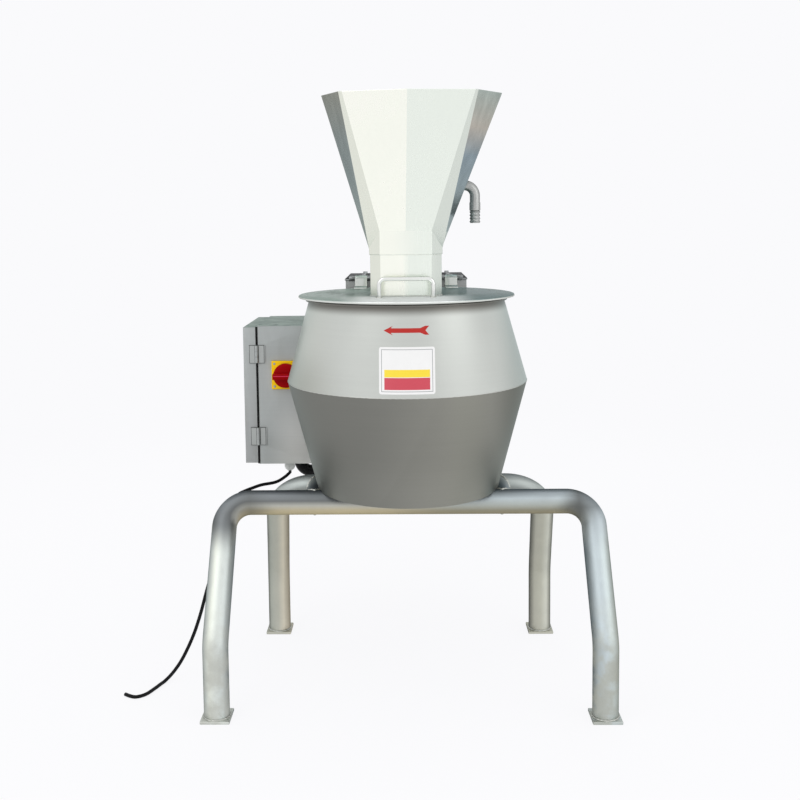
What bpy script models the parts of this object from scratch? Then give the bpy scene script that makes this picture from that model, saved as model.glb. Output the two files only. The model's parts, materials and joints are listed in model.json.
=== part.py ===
"""Shredding and slicing machine on a tube frame, with its belt drive and its electrical box.

Metres, +Z up, the front of the machine towards -Y. The barrel's axis is vertical, and every
piece is laid out from it. The whole machine then hangs on one empty, which puts the middle of
its footprint on the origin.
"""

import math

import bmesh
import bpy
from mathutils import Matrix, Vector

# Fits
GAP = 0.0003
RUNNING_GAP = 0.0005
FINGER = 0.025

# Frame of bent tube
TUBE_RADIUS = 0.0255
FRAME_HEIGHT = 0.389
ARCH_SPACING = 0.132
FRONT_LEG_X = 0.382
REAR_LEG_X = 0.310
FRONT_SPLAY = 0.160
REAR_SPLAY = 0.143
ANKLE_HEIGHT = 0.150
BEND_RADIUS = 0.076
RAIL_X = 0.196
FOOT_SIDE = 0.058
FOOT_THICKNESS = 0.006
BEAM_SIDE = 0.040
BEAM_WALL = 0.003
BEAM_INSET = 0.033

# Barrel
BARREL_WALL = 0.003
BOTTOM_RADIUS = 0.193
RIDGE_RADIUS = 0.2535
TOP_RADIUS = 0.206
LOWER_HEIGHT = 0.2295
UPPER_HEIGHT = 0.1695
BARREL_DROP = 0.004
RIM_THICKNESS = 0.004
RIM_OUT = 0.0065
RIM_IN = 0.0095
SEAL_THICKNESS = 0.0025
SEAL_WIDTH = 0.009

# Lid and hopper
LID_RADIUS = 0.2277
LID_THICKNESS = 0.004
SHEET = 0.002
NECK_HALF_X = 0.0735
NECK_HALF_Y = 0.077
NECK_CHAMFER = 0.021
NECK_HEIGHT = 0.085
SIDE_KNEE_RISE = 0.012
FRONT_KNEE_RISE = 0.048
FLARE_HEIGHT = 0.328
MOUTH_FOLD_Y = 0.170
MOUTH_FRONT_X = 0.131
MOUTH_FRONT_Y = 0.150
MOUTH_FACET = 0.006
MOUTH_SIDE_X = 0.180
MOUTH_SIDE_Y = 0.083
HANDLE_ROD = 0.00425
HANDLE_WIDTH = 0.109
HANDLE_HEIGHT = 0.0375
HANDLE_Y = 0.105
HANDLE_BEND = 0.012
PIPE_RADIUS = 0.0105
PIPE_BORE = 0.0080
PIPE_RISE = 0.141
PIPE_REACH = 0.146
PIPE_DROP = 0.038
PIPE_BEND = 0.022
TAIL_LENGTH = 0.036
TAIL_BARBS = 4
TAIL_STEP = 0.0006

# Cutting head
RING_RADIUS = 0.150
RING_WALL = 0.006
RING_HEIGHT = 0.102
RING_FLANGE = 0.018
RING_FLANGE_THICKNESS = 0.004
RING_LIFT = 0.0895
KNIFE_COUNT = 4
WINDOW_WIDTH = 0.040
KNIFE_WIDTH = 0.030
KNIFE_THICKNESS = 0.0025
CLAMP_WIDTH = 0.018
CLAMP_THICKNESS = 0.006
ARM_COUNT = 4
ARM_WIDTH = 0.030
ARM_THICKNESS = 0.006
IMPELLER_PLAY = 0.005
DISC_THICKNESS = 0.006
PADDLE_COUNT = 4
PADDLE_THICKNESS = 0.008
PADDLE_INNER = 0.040
PADDLE_SWEEP = 35.0
HUB_RADIUS = 0.030
CAP_HEIGHT = 0.044

# Spindle and its bearings
SPINDLE_RADIUS = 0.0125
BEARING_RADIUS = 0.026
BEARING_WIDTH = 0.015
BEARING_SPACING = 0.0415
HOUSING_RADIUS = 0.034
HOUSING_FLANGE = 0.0435
HOUSING_FLANGE_THICKNESS = 0.006
BEARING_PLATE_MARGIN = 0.025
BEARING_PLATE_Y = 0.045
BEARING_PLATE_THICKNESS = 0.008

# Belt drive
MOTOR_Y = 0.375
SPINDLE_PULLEY_RADIUS = 0.075
MOTOR_PULLEY_RADIUS = 0.0375
PULLEY_THICKNESS = 0.024
PULLEY_LIFT = 0.004
GROOVE_DEPTH = 0.0125
GROOVE_TOP = 0.018
GROOVE_BOTTOM = 0.012
BELT_DEPTH = 0.0105
TRAY_HALF = 0.088
TRAY_INNER_HEIGHT = 0.038
HUB_LIFT = 0.004

# Motor
MOTOR_RADIUS = 0.070
FIN_COUNT = 16
FIN_DEPTH = 0.011
MOTOR_LENGTH = 0.146
SHIELD_THICKNESS = 0.014
COWL_HEIGHT = 0.060
MOTOR_PLATE_INSET = 0.018
MOTOR_PLATE_Y = 0.105
MOTOR_PLATE_THICKNESS = 0.008
STANDOFF_RADIUS = 0.010
STANDOFF_HEIGHT = 0.056
FAN_BLADES = 7
FAN_PLAY = 0.010
FAN_HEIGHT = 0.026
FAN_BOSS = 0.010
COWL_EDGE = 0.010
MOTOR_SHAFT_RADIUS = 0.012

# Drive housing behind the barrel
CASE_HALF_X = 0.143
CASE_DEPTH = 0.246
CASE_RISE = 0.0141
CASE_FLOOR = 0.004
TOP_PLATE_THICKNESS = 0.004
TOP_PLATE_LIP = 0.0015
TOP_PLATE_OVERHANG = 0.0075
HINGE_X = 0.105
HINGE_REACH = 0.009
KNUCKLE_RADIUS = 0.0065
HINGE_PIN_RADIUS = 0.003
LEAF_THICKNESS = 0.003
LEAF_LENGTH = 0.040
STRAP_WIDTH = 0.028
STRAP_LENGTH = 0.055
FIXED_KNUCKLE = 0.014
BOLT_HEAD = 0.0065
BOLT_HEAD_HEIGHT = 0.005

# Electrical box
BOX_RIGHT = -0.215
BOX_SEAM = -0.3425
BOX_FRONT = 0.150
BOX_DEPTH = 0.250
BOX_LIFT = 0.005
BOX_HEIGHT = 0.319
DOOR_THICKNESS = 0.0305
DOOR_MARGIN = 0.0025
BOX_SHEET = 0.002
LATCH_LIP = 0.014
LATCH_INSET = 0.030
LATCH_BARREL = 0.009
LATCH_HEAD = 0.013
LATCH_CAM_LENGTH = 0.024
LATCH_CAM_WIDTH = 0.012
LATCH_CAM_THICKNESS = 0.003
BUTT_HEIGHT = 0.040
BUTT_WIDTH = 0.015
BUTT_THICKNESS = 0.002
BUTT_RADIUS = 0.004
BUTT_PIN = 0.0018
BUTT_LOW = 0.045
BUTT_HIGH = 0.275
SWITCH_X = -0.2765
SWITCH_RISE = 0.207
SWITCH_SIDE = 0.065
SWITCH_PLATE = 0.006
KNOB_RADIUS = 0.0275
KNOB_BASE = 0.016
KNOB_GRIP = 0.014
SWITCH_STEM = 0.006
GLAND_X = -0.2765
GLAND_Y = 0.190
GLAND_RADIUS = 0.0125
GLAND_DROP = 0.024
CORD_RADIUS = 0.0037
CONDUIT_X = -0.262
CONDUIT_Y = 0.275
CONDUIT_RADIUS = 0.0125
CONDUIT_NUT = 0.017
CONDUIT_RISE = 0.0327
BRACKET_HEIGHT = 0.030
BRACKET_DEPTH = 0.100
BRACKET_LOW = 0.070
BRACKET_HIGH = 0.260
PANEL_THICKNESS = 0.002
PANEL_INSET_Y = 0.020
PANEL_INSET_Z = 0.030
CONTACTOR_DEPTH = 0.070
CONTACTOR_WIDTH = 0.045
CONTACTOR_HEIGHT = 0.080
CONTACTOR_Y = 0.110
CONTACTOR_RISE = 0.160
TERMINALS_DEPTH = 0.040
TERMINALS_LENGTH = 0.130
TERMINALS_HEIGHT = 0.045
TERMINALS_Y = 0.060
TERMINALS_RISE = 0.060
TERMINAL_PITCH = 0.013
TERMINAL_SLOT = 0.0016
TERMINAL_SLOT_DEPTH = 0.012
TERMINAL_SLOT_RISE = 0.010

# Places that follow from the sizes
FRAME_TOP = FRAME_HEIGHT + TUBE_RADIUS
ARCH_Y = ARCH_SPACING / 2
FRONT_FOOT_Y = ARCH_Y + FRONT_SPLAY
REAR_FOOT_Y = ARCH_Y + REAR_SPLAY
BARREL_BASE = FRAME_TOP - BARREL_DROP
RING_BASE = BARREL_BASE + RING_LIFT
RIDGE_Z = BARREL_BASE + LOWER_HEIGHT
BARREL_TOP = RIDGE_Z + UPPER_HEIGHT
RIM_TOP = BARREL_TOP + RIM_THICKNESS
SEAL_BASE = RIM_TOP + GAP
LID_BASE = SEAL_BASE + SEAL_THICKNESS + GAP
LID_TOP = LID_BASE + LID_THICKNESS
NECK_BASE = LID_TOP + GAP
NECK_TOP = NECK_BASE + NECK_HEIGHT
FLARE_BASE = NECK_TOP + GAP
MOUTH_Z = FLARE_BASE + FLARE_HEIGHT
BEAM_X = CASE_HALF_X - BEAM_INSET
BEARING_PLATE_X = BEAM_X + BEARING_PLATE_MARGIN
MOTOR_PLATE_X = CASE_HALF_X - MOTOR_PLATE_INSET
BEAM_TOP = FRAME_HEIGHT + BEAM_SIDE / 2
PLATE_TOP = BEAM_TOP + BEARING_PLATE_THICKNESS
FLANGE_BASE = PLATE_TOP + GAP
FLANGE_TOP = FLANGE_BASE + HOUSING_FLANGE_THICKNESS
TRAY_BASE = PLATE_TOP + GAP
TRAY_FLOOR = TRAY_BASE + SHEET
PULLEY_BASE = FLANGE_TOP + PULLEY_LIFT
PULLEY_TOP = PULLEY_BASE + PULLEY_THICKNESS
TRAY_TOP = TRAY_FLOOR + TRAY_INNER_HEIGHT
COVER_BASE = TRAY_TOP + GAP
COVER_TOP = COVER_BASE + SHEET
HUB_BASE = COVER_TOP + HUB_LIFT
DISC_BASE = RING_BASE + IMPELLER_PLAY
DISC_TOP = DISC_BASE + DISC_THICKNESS
RING_TOP = RING_BASE + RING_HEIGHT
DISC_RADIUS = RING_RADIUS - IMPELLER_PLAY
CASE_FRONT = RIDGE_RADIUS + GAP
CASE_BACK = CASE_FRONT + CASE_DEPTH
TOP_PLATE_FRONT = CASE_FRONT - TOP_PLATE_OVERHANG
CARRIER_TOP = BEAM_TOP + CASE_FLOOR
CASE_UNDERSIDE = CARRIER_TOP + GAP
CASE_TOP = LID_TOP + CASE_RISE
CONDUIT_END_Z = CASE_UNDERSIDE + CONDUIT_RISE
TOP_PLATE_BASE = CASE_TOP + GAP
TOP_PLATE_TOP = TOP_PLATE_BASE + TOP_PLATE_THICKNESS
LEAF_BASE = TOP_PLATE_TOP + GAP
LEAF_TOP = LEAF_BASE + LEAF_THICKNESS
LID_AXIS_Y = TOP_PLATE_FRONT - HINGE_REACH
LID_AXIS_Z = LEAF_BASE + LEAF_THICKNESS / 2
MOTOR_PLATE_BASE = CARRIER_TOP + GAP + STANDOFF_HEIGHT
MOTOR_BASE = MOTOR_PLATE_BASE + MOTOR_PLATE_THICKNESS + GAP
BOX_BOTTOM = FRAME_TOP + BOX_LIFT
BOX_TOP = BOX_BOTTOM + BOX_HEIGHT
SWITCH_Z = BOX_BOTTOM + SWITCH_RISE
BOX_BACK = BOX_FRONT + BOX_DEPTH
DOOR_BASE = BOX_BOTTOM + DOOR_MARGIN
DOOR_TOP = BOX_TOP - DOOR_MARGIN
DOOR_RIGHT = BOX_SEAM - GAP
DOOR_LEFT = DOOR_RIGHT - DOOR_THICKNESS
BUTT_AXIS_Y = BOX_FRONT - GAP - BUTT_RADIUS
REAR_COVER_BACK = CASE_BACK + GAP + SHEET
FOOTPRINT_FRONT = -max(FRONT_FOOT_Y + FOOT_SIDE / 2, RIDGE_RADIUS)
ORIGIN_SHIFT = -(FOOTPRINT_FRONT + REAR_COVER_BACK) / 2

for old in list(bpy.data.objects):
    bpy.data.objects.remove(old)

machine = bpy.data.collections.new("shredding_and_slicing_machine")
helpers = bpy.data.collections.new("cutters")
bpy.context.scene.collection.children.link(machine)
bpy.context.scene.collection.children.link(helpers)
origin = bpy.data.objects.new("machine_origin", None)
origin.location = (0, ORIGIN_SHIFT, 0)
machine.objects.link(origin)


def material(name, colour, roughness, metallic):
    made = bpy.data.materials.new(name)
    made.use_nodes = True
    shader = made.node_tree.nodes["Principled BSDF"]
    shader.inputs["Base Color"].default_value = (*colour, 1)
    shader.inputs["Roughness"].default_value = roughness
    shader.inputs["Metallic"].default_value = metallic
    made.diffuse_color = (*colour, 1)
    return made


BRIGHT_STEEL = material("bright_steel", (0.78, 0.79, 0.77), 0.22, 1.0)
BRUSHED_STEEL = material("brushed_steel", (0.56, 0.57, 0.54), 0.38, 1.0)
BLASTED_STEEL = material("blasted_steel", (0.60, 0.60, 0.56), 0.45, 1.0)
BOX_STEEL = material("box_steel", (0.46, 0.47, 0.46), 0.40, 1.0)
KNIFE_STEEL = material("knife_steel", (0.70, 0.71, 0.72), 0.15, 1.0)
CAST_IRON = material("cast_iron", (0.16, 0.16, 0.17), 0.60, 0.6)
MOTOR_PAINT = material("motor_paint", (0.20, 0.28, 0.36), 0.50, 0.0)
BLACK_RUBBER = material("black_rubber", (0.015, 0.015, 0.017), 0.60, 0.0)
WHITE_SILICONE = material("white_silicone", (0.80, 0.80, 0.78), 0.50, 0.0)
CLEAR_NYLON = material("clear_nylon", (0.75, 0.78, 0.78), 0.30, 0.0)
YELLOW_PLASTIC = material("yellow_plastic", (0.85, 0.60, 0.02), 0.40, 0.0)
RED_PLASTIC = material("red_plastic", (0.60, 0.02, 0.02), 0.30, 0.0)
GREY_PLASTIC = material("grey_plastic", (0.30, 0.30, 0.31), 0.50, 0.0)


def place(obj, finish, home=machine):
    home.objects.link(obj)
    obj.parent = origin
    if home is helpers:
        obj.hide_render = True
        obj.display_type = "WIRE"
    if finish is not None:
        obj.data.materials.append(finish)
    return obj


def from_bmesh(name, shape, finish, home=machine, at=(0, 0, 0)):
    """The shape's points are in the machine's frame, and the object's origin goes to at."""
    bmesh.ops.translate(shape, verts=shape.verts, vec=-Vector(at))
    bmesh.ops.recalc_face_normals(shape, faces=shape.faces)
    mesh = bpy.data.meshes.new(name)
    shape.to_mesh(mesh)
    shape.free()
    obj = bpy.data.objects.new(name, mesh)
    obj.location = at
    return place(obj, finish, home)


def add_box(shape, low, high, turn=0.0):
    low, high = Vector(low), Vector(high)
    size = high - low
    matrix = Matrix.Rotation(turn, 4, "Z") @ Matrix.Translation((low + high) / 2)
    bmesh.ops.create_cube(shape, size=1, matrix=matrix @ Matrix.Diagonal((*size, 1)))


TURNS = {
    "X": Matrix.Rotation(math.pi / 2, 4, "Y"),
    "Y": Matrix.Rotation(-math.pi / 2, 4, "X"),
    "Z": Matrix.Identity(4),
}


def add_rod(shape, start, length, radius, axis="Z", sides=24, top_radius=None):
    """A cylinder that starts at a point and runs along +X, +Y or +Z."""
    turn = TURNS[axis]
    middle = Vector(start) + turn @ Vector((0, 0, length / 2))
    bmesh.ops.create_cone(
        shape,
        cap_ends=True,
        segments=sides,
        radius1=radius,
        radius2=radius if top_radius is None else top_radius,
        depth=length,
        matrix=Matrix.Translation(middle) @ turn,
    )


def box(name, low, high, finish, bevel=0.0, at=(0, 0, 0)):
    shape = bmesh.new()
    add_box(shape, low, high)
    obj = from_bmesh(name, shape, finish, at=at)
    if bevel:
        soften(obj, bevel)
    return obj


def soften(obj, width, segments=1):
    modifier = obj.modifiers.new("bevel", "BEVEL")
    modifier.width = width
    modifier.segments = segments
    modifier.limit_method = "ANGLE"
    return modifier


def rods(name, starts, length, radius, finish, axis="Z", sides=24, at=(0, 0, 0)):
    shape = bmesh.new()
    for start in starts:
        add_rod(shape, start, length, radius, axis, sides)
    return from_bmesh(name, shape, finish, at=at)


def turned(name, profile, finish, steps=48, at=(0, 0, 0), closed=True, home=machine):
    """A turned piece. Its profile is (radius, height) points down the outer side, in at's frame."""
    mesh = bpy.data.meshes.new(name)
    points = [(radius, 0, height) for radius, height in profile]
    edges = [(i, i + 1) for i in range(len(points) - 1)]
    if closed:
        edges.append((len(points) - 1, 0))
    mesh.from_pydata(points, edges, [])
    obj = bpy.data.objects.new(name, mesh)
    obj.location = at
    screw = obj.modifiers.new("turn", "SCREW")
    screw.steps = steps
    screw.render_steps = steps
    screw.use_merge_vertices = True
    screw.merge_threshold = 0.00002
    return place(obj, finish, home)


def add_turned(shape, profile, matrix, steps):
    """A turned ring made straight into a shape, from a closed profile of (radius, height) points."""
    rows = []
    for i in range(steps):
        spin = matrix @ Matrix.Rotation(math.tau * i / steps, 4, "Z")
        rows.append([shape.verts.new(spin @ Vector((radius, 0, height))) for radius, height in profile])
    for i, row in enumerate(rows):
        after = rows[(i + 1) % steps]
        for k in range(len(profile)):
            m = (k + 1) % len(profile)
            shape.faces.new((row[k], row[m], after[m], after[k]))


def ring(name, inner, outer, base, top, finish, steps=48):
    profile = [(outer, top), (outer, base), (inner, base), (inner, top)]
    return turned(name, profile, finish, steps)


def outline_solid(name, loops, base, top, finish, home=machine, at=(0, 0, 0)):
    """Flat loops, the first one outside and the others holes in it, extruded from base to top."""
    curve = bpy.data.curves.new(name, "CURVE")
    curve.dimensions = "2D"
    curve.fill_mode = "BOTH"
    curve.extrude = (top - base) / 2
    for loop in loops:
        spline = curve.splines.new("POLY")
        spline.points.add(len(loop) - 1)
        for point, (x, y) in zip(spline.points, loop):
            point.co = (x, y, 0, 1)
        spline.use_cyclic_u = True
    obj = bpy.data.objects.new(name, curve)
    obj.location = Vector(at) + Vector((0, 0, (base + top) / 2))
    return as_mesh(place(obj, finish, home))


def as_mesh(obj):
    """A curve made a mesh, with its caps welded on, so that it can be cut."""
    bpy.context.view_layer.update()
    graph = bpy.context.evaluated_depsgraph_get()
    mesh = bpy.data.meshes.new_from_object(obj.evaluated_get(graph))
    shape = bmesh.new()
    shape.from_mesh(mesh)
    bmesh.ops.remove_doubles(shape, verts=shape.verts, dist=0.00001)
    bmesh.ops.recalc_face_normals(shape, faces=shape.faces)
    shape.to_mesh(mesh)
    shape.free()
    made = bpy.data.objects.new(obj.name, mesh)
    name, home, matrix = obj.name, obj.users_collection[0], obj.matrix_world.copy()
    hidden = obj.hide_render
    bpy.data.objects.remove(obj)
    made.name = name
    home.objects.link(made)
    made.parent = origin
    made.matrix_world = matrix
    made.hide_render = hidden
    made.display_type = "WIRE" if hidden else "TEXTURED"
    return made


def rounded_path(corners, radius, step=15.0):
    """The corners joined by straight runs, with an arc of the bend radius at each inner corner."""
    corners = [Vector(corner) for corner in corners]
    path = [corners[0]]
    for before, corner, after in zip(corners, corners[1:], corners[2:]):
        first, second = (before - corner).normalized(), (after - corner).normalized()
        half = first.angle(second) / 2
        reach = radius / math.tan(half)
        centre = corner + (first + second).normalized() * radius / math.sin(half)
        start, end = corner + first * reach - centre, corner + second * reach - centre
        count = max(2, round(math.degrees(math.pi - 2 * half) / step))
        path += [centre + radius * start.slerp(end, i / count) for i in range(count + 1)]
    return path + [corners[-1]]


def smooth_path(corners, spacing):
    """Points read at an even spacing from a smooth curve through all the corners."""
    corners = [Vector(corner) for corner in corners]
    ends = [2 * corners[0] - corners[1], *corners, 2 * corners[-1] - corners[-2]]
    fine = []
    for a, b, c, d in zip(ends, ends[1:], ends[2:], ends[3:]):
        for i in range(24):
            t = i / 24
            bow = (2 * a - 5 * b + 4 * c - d) * t**2 + (3 * b - a - 3 * c + d) * t**3
            fine.append(0.5 * (2 * b + (c - a) * t + bow))
    fine.append(corners[-1])
    length = sum((b - a).length for a, b in zip(fine, fine[1:]))
    count = max(2, round(length / spacing))
    path, done, wanted = [fine[0]], 0.0, length / count
    for a, b in zip(fine, fine[1:]):
        step = (b - a).length
        while step and done + step >= wanted * len(path) - 1e-9 and len(path) < count:
            path.append(a.lerp(b, (wanted * len(path) - done) / step))
        done += step
    return path + [fine[-1]]


def tube(name, path, radius, finish, resolution=6, home=machine):
    curve = bpy.data.curves.new(name, "CURVE")
    curve.dimensions = "3D"
    curve.bevel_depth = radius
    curve.bevel_resolution = resolution
    curve.use_fill_caps = True
    spline = curve.splines.new("POLY")
    spline.points.add(len(path) - 1)
    for point, place_at in zip(spline.points, path):
        point.co = (*place_at, 1)
    return place(bpy.data.objects.new(name, curve), finish, home)


def boolean(obj, other, operation="DIFFERENCE"):
    modifier = obj.modifiers.new(operation.lower(), "BOOLEAN")
    modifier.operation = operation
    modifier.object = other
    return obj


def cut_boxes(obj, name, boxes, turns=(0.0,)):
    shape = bmesh.new()
    for turn in turns:
        for low, high in boxes:
            add_box(shape, low, high, turn)
    boolean(obj, from_bmesh(name, shape, None, helpers))


def cut_rods(obj, name, starts, length, radius, axis="Z", sides=24):
    shape = bmesh.new()
    for start in starts:
        add_rod(shape, start, length, radius, axis, sides)
    boolean(obj, from_bmesh(name, shape, None, helpers))


def clear_of(radius, sides=32):
    """The radius of a cutter whose flat sides still clear a round piece by the gap."""
    return (radius + GAP) / math.cos(math.pi / sides)


def arc(radius, start, end, count, centre=(0.0, 0.0)):
    angles = [math.radians(start + (end - start) * i / count) for i in range(count + 1)]
    return [(centre[0] + radius * math.cos(a), centre[1] + radius * math.sin(a)) for a in angles]


# Frame: two arches, side rails, cross beams and feet

def arch(name, leg_x, side, splay):
    """An arch bent from one tube, welded to its two foot plates."""
    arch_y = side * ARCH_Y
    foot_y = side * (ARCH_Y + splay)
    corners = [
        (-leg_x, foot_y, FOOT_THICKNESS / 2),
        (-leg_x, foot_y, ANKLE_HEIGHT),
        (-leg_x, arch_y, FRAME_HEIGHT),
        (leg_x, arch_y, FRAME_HEIGHT),
        (leg_x, foot_y, ANKLE_HEIGHT),
        (leg_x, foot_y, FOOT_THICKNESS / 2),
    ]
    bent = as_mesh(tube(name, rounded_path(corners, BEND_RADIUS), TUBE_RADIUS, BLASTED_STEEL))
    feet = bmesh.new()
    half = FOOT_SIDE / 2
    for x in (-leg_x, leg_x):
        add_box(feet, (x - half, foot_y - half, 0), (x + half, foot_y + half, FOOT_THICKNESS))
    return boolean(bent, from_bmesh(name + "_feet", feet, None, helpers), "UNION")


arch("front_arch", FRONT_LEG_X, -1, FRONT_SPLAY)
arch("rear_arch", REAR_LEG_X, 1, REAR_SPLAY)


def cope(obj, name):
    """Takes the two arches, with their gap, out of a piece that meets them."""
    starts = [(-FRONT_LEG_X, side * ARCH_Y, FRAME_HEIGHT) for side in (-1, 1)]
    cut_rods(obj, name, starts, 2 * FRONT_LEG_X, clear_of(TUBE_RADIUS), "X", 32)
    return obj


for hand, side in (("left", -1), ("right", 1)):
    rail = rods(
        f"{hand}_rail",
        [(side * RAIL_X, -ARCH_Y, FRAME_HEIGHT)],
        2 * ARCH_Y,
        TUBE_RADIUS - GAP,
        BLASTED_STEEL,
        "Y",
        20,
    )
    cope(rail, f"{hand}_rail_ends")


def carrier(name, start_y, end_y, plate):
    """Two square tubes along Y, welded under one plate that ties them together."""
    half, bore = BEAM_SIDE / 2, BEAM_SIDE / 2 - BEAM_WALL
    shape, plate_shape, hollow = bmesh.new(), bmesh.new(), []
    for x in (-BEAM_X, BEAM_X):
        add_box(shape, (x - half, start_y, FRAME_HEIGHT - half), (x + half, end_y, FRAME_HEIGHT + half))
        hollow.append(
            (
                (x - bore, start_y - half, FRAME_HEIGHT - bore),
                (x + bore, end_y + half, FRAME_HEIGHT + bore),
            )
        )
    beams = from_bmesh(name, shape, BLASTED_STEEL)
    low, high = plate
    add_box(plate_shape, (low[0], low[1], low[2] - BEAM_WALL / 2), high)
    boolean(beams, from_bmesh(name + "_plate", plate_shape, None, helpers), "UNION")
    cut_boxes(beams, name + "_bore", hollow)
    return cope(beams, name + "_ends")


spindle_carrier = carrier(
    "spindle_carrier",
    -ARCH_Y,
    ARCH_Y,
    ((-BEARING_PLATE_X, -BEARING_PLATE_Y, BEAM_TOP), (BEARING_PLATE_X, BEARING_PLATE_Y, PLATE_TOP)),
)
carrier(
    "motor_carrier",
    ARCH_Y,
    CASE_BACK,
    ((-CASE_HALF_X, CASE_FRONT, BEAM_TOP), (CASE_HALF_X, CASE_BACK, CARRIER_TOP)),
)

# Barrel: two cones, rim and seal


def barrel_radius(height):
    """The barrel's outer radius at a height."""
    if height < RIDGE_Z:
        share = (height - BARREL_BASE) / LOWER_HEIGHT
        return BOTTOM_RADIUS + share * (RIDGE_RADIUS - BOTTOM_RADIUS)
    share = (height - RIDGE_Z) / UPPER_HEIGHT
    return RIDGE_RADIUS + share * (TOP_RADIUS - RIDGE_RADIUS)


BARREL_STEPS = 48

lower = turned(
    "lower_barrel_cone",
    [
        (RIDGE_RADIUS, RIDGE_Z - GAP / 2),
        (BOTTOM_RADIUS, BARREL_BASE),
        (BOTTOM_RADIUS - BARREL_WALL, BARREL_BASE),
        (RIDGE_RADIUS - BARREL_WALL, RIDGE_Z - GAP / 2),
    ],
    BRUSHED_STEEL,
    BARREL_STEPS,
)
cope(lower, "barrel_saddles")
cut_rods(
    lower,
    "barrel_rail_saddles",
    [(side * RAIL_X, -ARCH_Y, FRAME_HEIGHT) for side in (-1, 1)],
    2 * ARCH_Y,
    clear_of(TUBE_RADIUS),
    "Y",
    32,
)
cut_boxes(
    lower,
    "barrel_belt_opening",
    [
        (
            (-TRAY_HALF - GAP, 0, TRAY_BASE - GAP),
            (TRAY_HALF + GAP, CASE_FRONT, COVER_TOP + GAP),
        )
    ],
)
RIM_INNER = TOP_RADIUS - RIM_IN
RIM_OUTER = TOP_RADIUS + RIM_OUT
turned(
    "upper_barrel_cone",
    [
        (RIM_OUTER, RIM_TOP),
        (RIM_OUTER, BARREL_TOP),
        (TOP_RADIUS, BARREL_TOP),
        (RIDGE_RADIUS, RIDGE_Z + GAP / 2),
        (RIDGE_RADIUS - BARREL_WALL, RIDGE_Z + GAP / 2),
        (TOP_RADIUS - BARREL_WALL, BARREL_TOP),
        (RIM_INNER, BARREL_TOP),
        (RIM_INNER, RIM_TOP),
    ],
    BRUSHED_STEEL,
    BARREL_STEPS,
)
SEAL_INNER = TOP_RADIUS - SEAL_WIDTH / 2
ring(
    "lid_seal",
    SEAL_INNER,
    SEAL_INNER + SEAL_WIDTH,
    SEAL_BASE,
    SEAL_BASE + SEAL_THICKNESS,
    WHITE_SILICONE,
    BARREL_STEPS,
)

# Lid with its hopper: everything here opens with the lid


def section(half_x, half_y, chamfer):
    """The neck's section, counter-clockwise from above: a square with its corners cut off."""
    side_y = half_y - chamfer
    right = [
        (0.0, -half_y),
        (half_x - chamfer, -half_y),
        (half_x, -side_y),
        (half_x, -side_y / 3),
    ]
    return mirrored_corners(right)


def mirrored_corners(quarter):
    """Four copies of a quarter outline that starts on the front centre line."""
    front = quarter[1:]
    back = [(x, -y) for x, y in reversed(front)]
    right = [quarter[0], *front, *back, (0.0, -quarter[0][1])]
    left = [(-x, y) for x, y in reversed(right[1:-1])]
    return right + left


def mouth():
    quarter = [
        (0.0, -MOUTH_FOLD_Y),
        (MOUTH_FRONT_X, -MOUTH_FRONT_Y),
        (MOUTH_FRONT_X + MOUTH_FACET, -MOUTH_FRONT_Y + MOUTH_FACET * 2 / 3),
        (MOUTH_SIDE_X, -MOUTH_SIDE_Y),
    ]
    return mirrored_corners(quarter)


def loft(name, sections, finish, at=(0, 0, 0)):
    """A sheet-metal shell through sections of as many corners each, with its thickness inside."""
    shape = bmesh.new()
    rows = [[shape.verts.new(Vector(point) - Vector(at)) for point in points] for points in sections]
    for below, above in zip(rows, rows[1:]):
        for i in range(len(below)):
            j = (i + 1) % len(below)
            shape.faces.new((below[i], below[j], above[j], above[i]))
    mesh = bpy.data.meshes.new(name)
    shape.to_mesh(mesh)
    shape.free()
    obj = bpy.data.objects.new(name, mesh)
    obj.location = at
    solid = obj.modifiers.new("sheet", "SOLIDIFY")
    solid.thickness = SHEET
    solid.offset = -1
    solid.use_even_offset = True
    return place(obj, finish)


LID_AXIS = (0, LID_AXIS_Y, LID_AXIS_Z)
lid_pivot = bpy.data.objects.new("lid_pivot", None)
lid_pivot.location = LID_AXIS
lid_pivot.parent = origin
machine.objects.link(lid_pivot)


def on_lid(obj):
    """Hangs a piece on the lid's hinge axis, where it is."""
    obj.parent = lid_pivot
    obj.matrix_parent_inverse = Matrix.Translation(-Vector(LID_AXIS))
    return obj


NECK = section(NECK_HALF_X, NECK_HALF_Y, NECK_CHAMFER)
INNER_CHAMFER = NECK_CHAMFER - SHEET * (2 - math.sqrt(2))
NECK_INSIDE = section(NECK_HALF_X - SHEET, NECK_HALF_Y - SHEET, INNER_CHAMFER)

lid = turned(
    "lid_plate",
    [
        (0, LID_TOP - LID_AXIS_Z),
        (LID_RADIUS - 0.001, LID_TOP - LID_AXIS_Z),
        (LID_RADIUS, LID_TOP - LID_AXIS_Z - 0.001),
        (LID_RADIUS, LID_BASE - LID_AXIS_Z),
        (0, LID_BASE - LID_AXIS_Z),
    ],
    BRIGHT_STEEL,
    BARREL_STEPS,
    at=(0, 0, LID_AXIS_Z),
    closed=False,
)
on_lid(lid)
boolean(
    lid,
    outline_solid("lid_opening", [NECK_INSIDE], LID_BASE - FINGER, LID_TOP + FINGER, None, helpers),
)
loft(
    "hopper_neck",
    [[(x, y, NECK_BASE) for x, y in NECK], [(x, y, NECK_TOP) for x, y in NECK]],
    BRIGHT_STEEL,
    at=LID_AXIS,
)


def knee_height(corner):
    """The front and back panels bend higher up than the side panels do."""
    on_front = abs(abs(corner[1]) - NECK_HALF_Y) < GAP
    return FLARE_BASE + (FRONT_KNEE_RISE if on_front else SIDE_KNEE_RISE)


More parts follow.
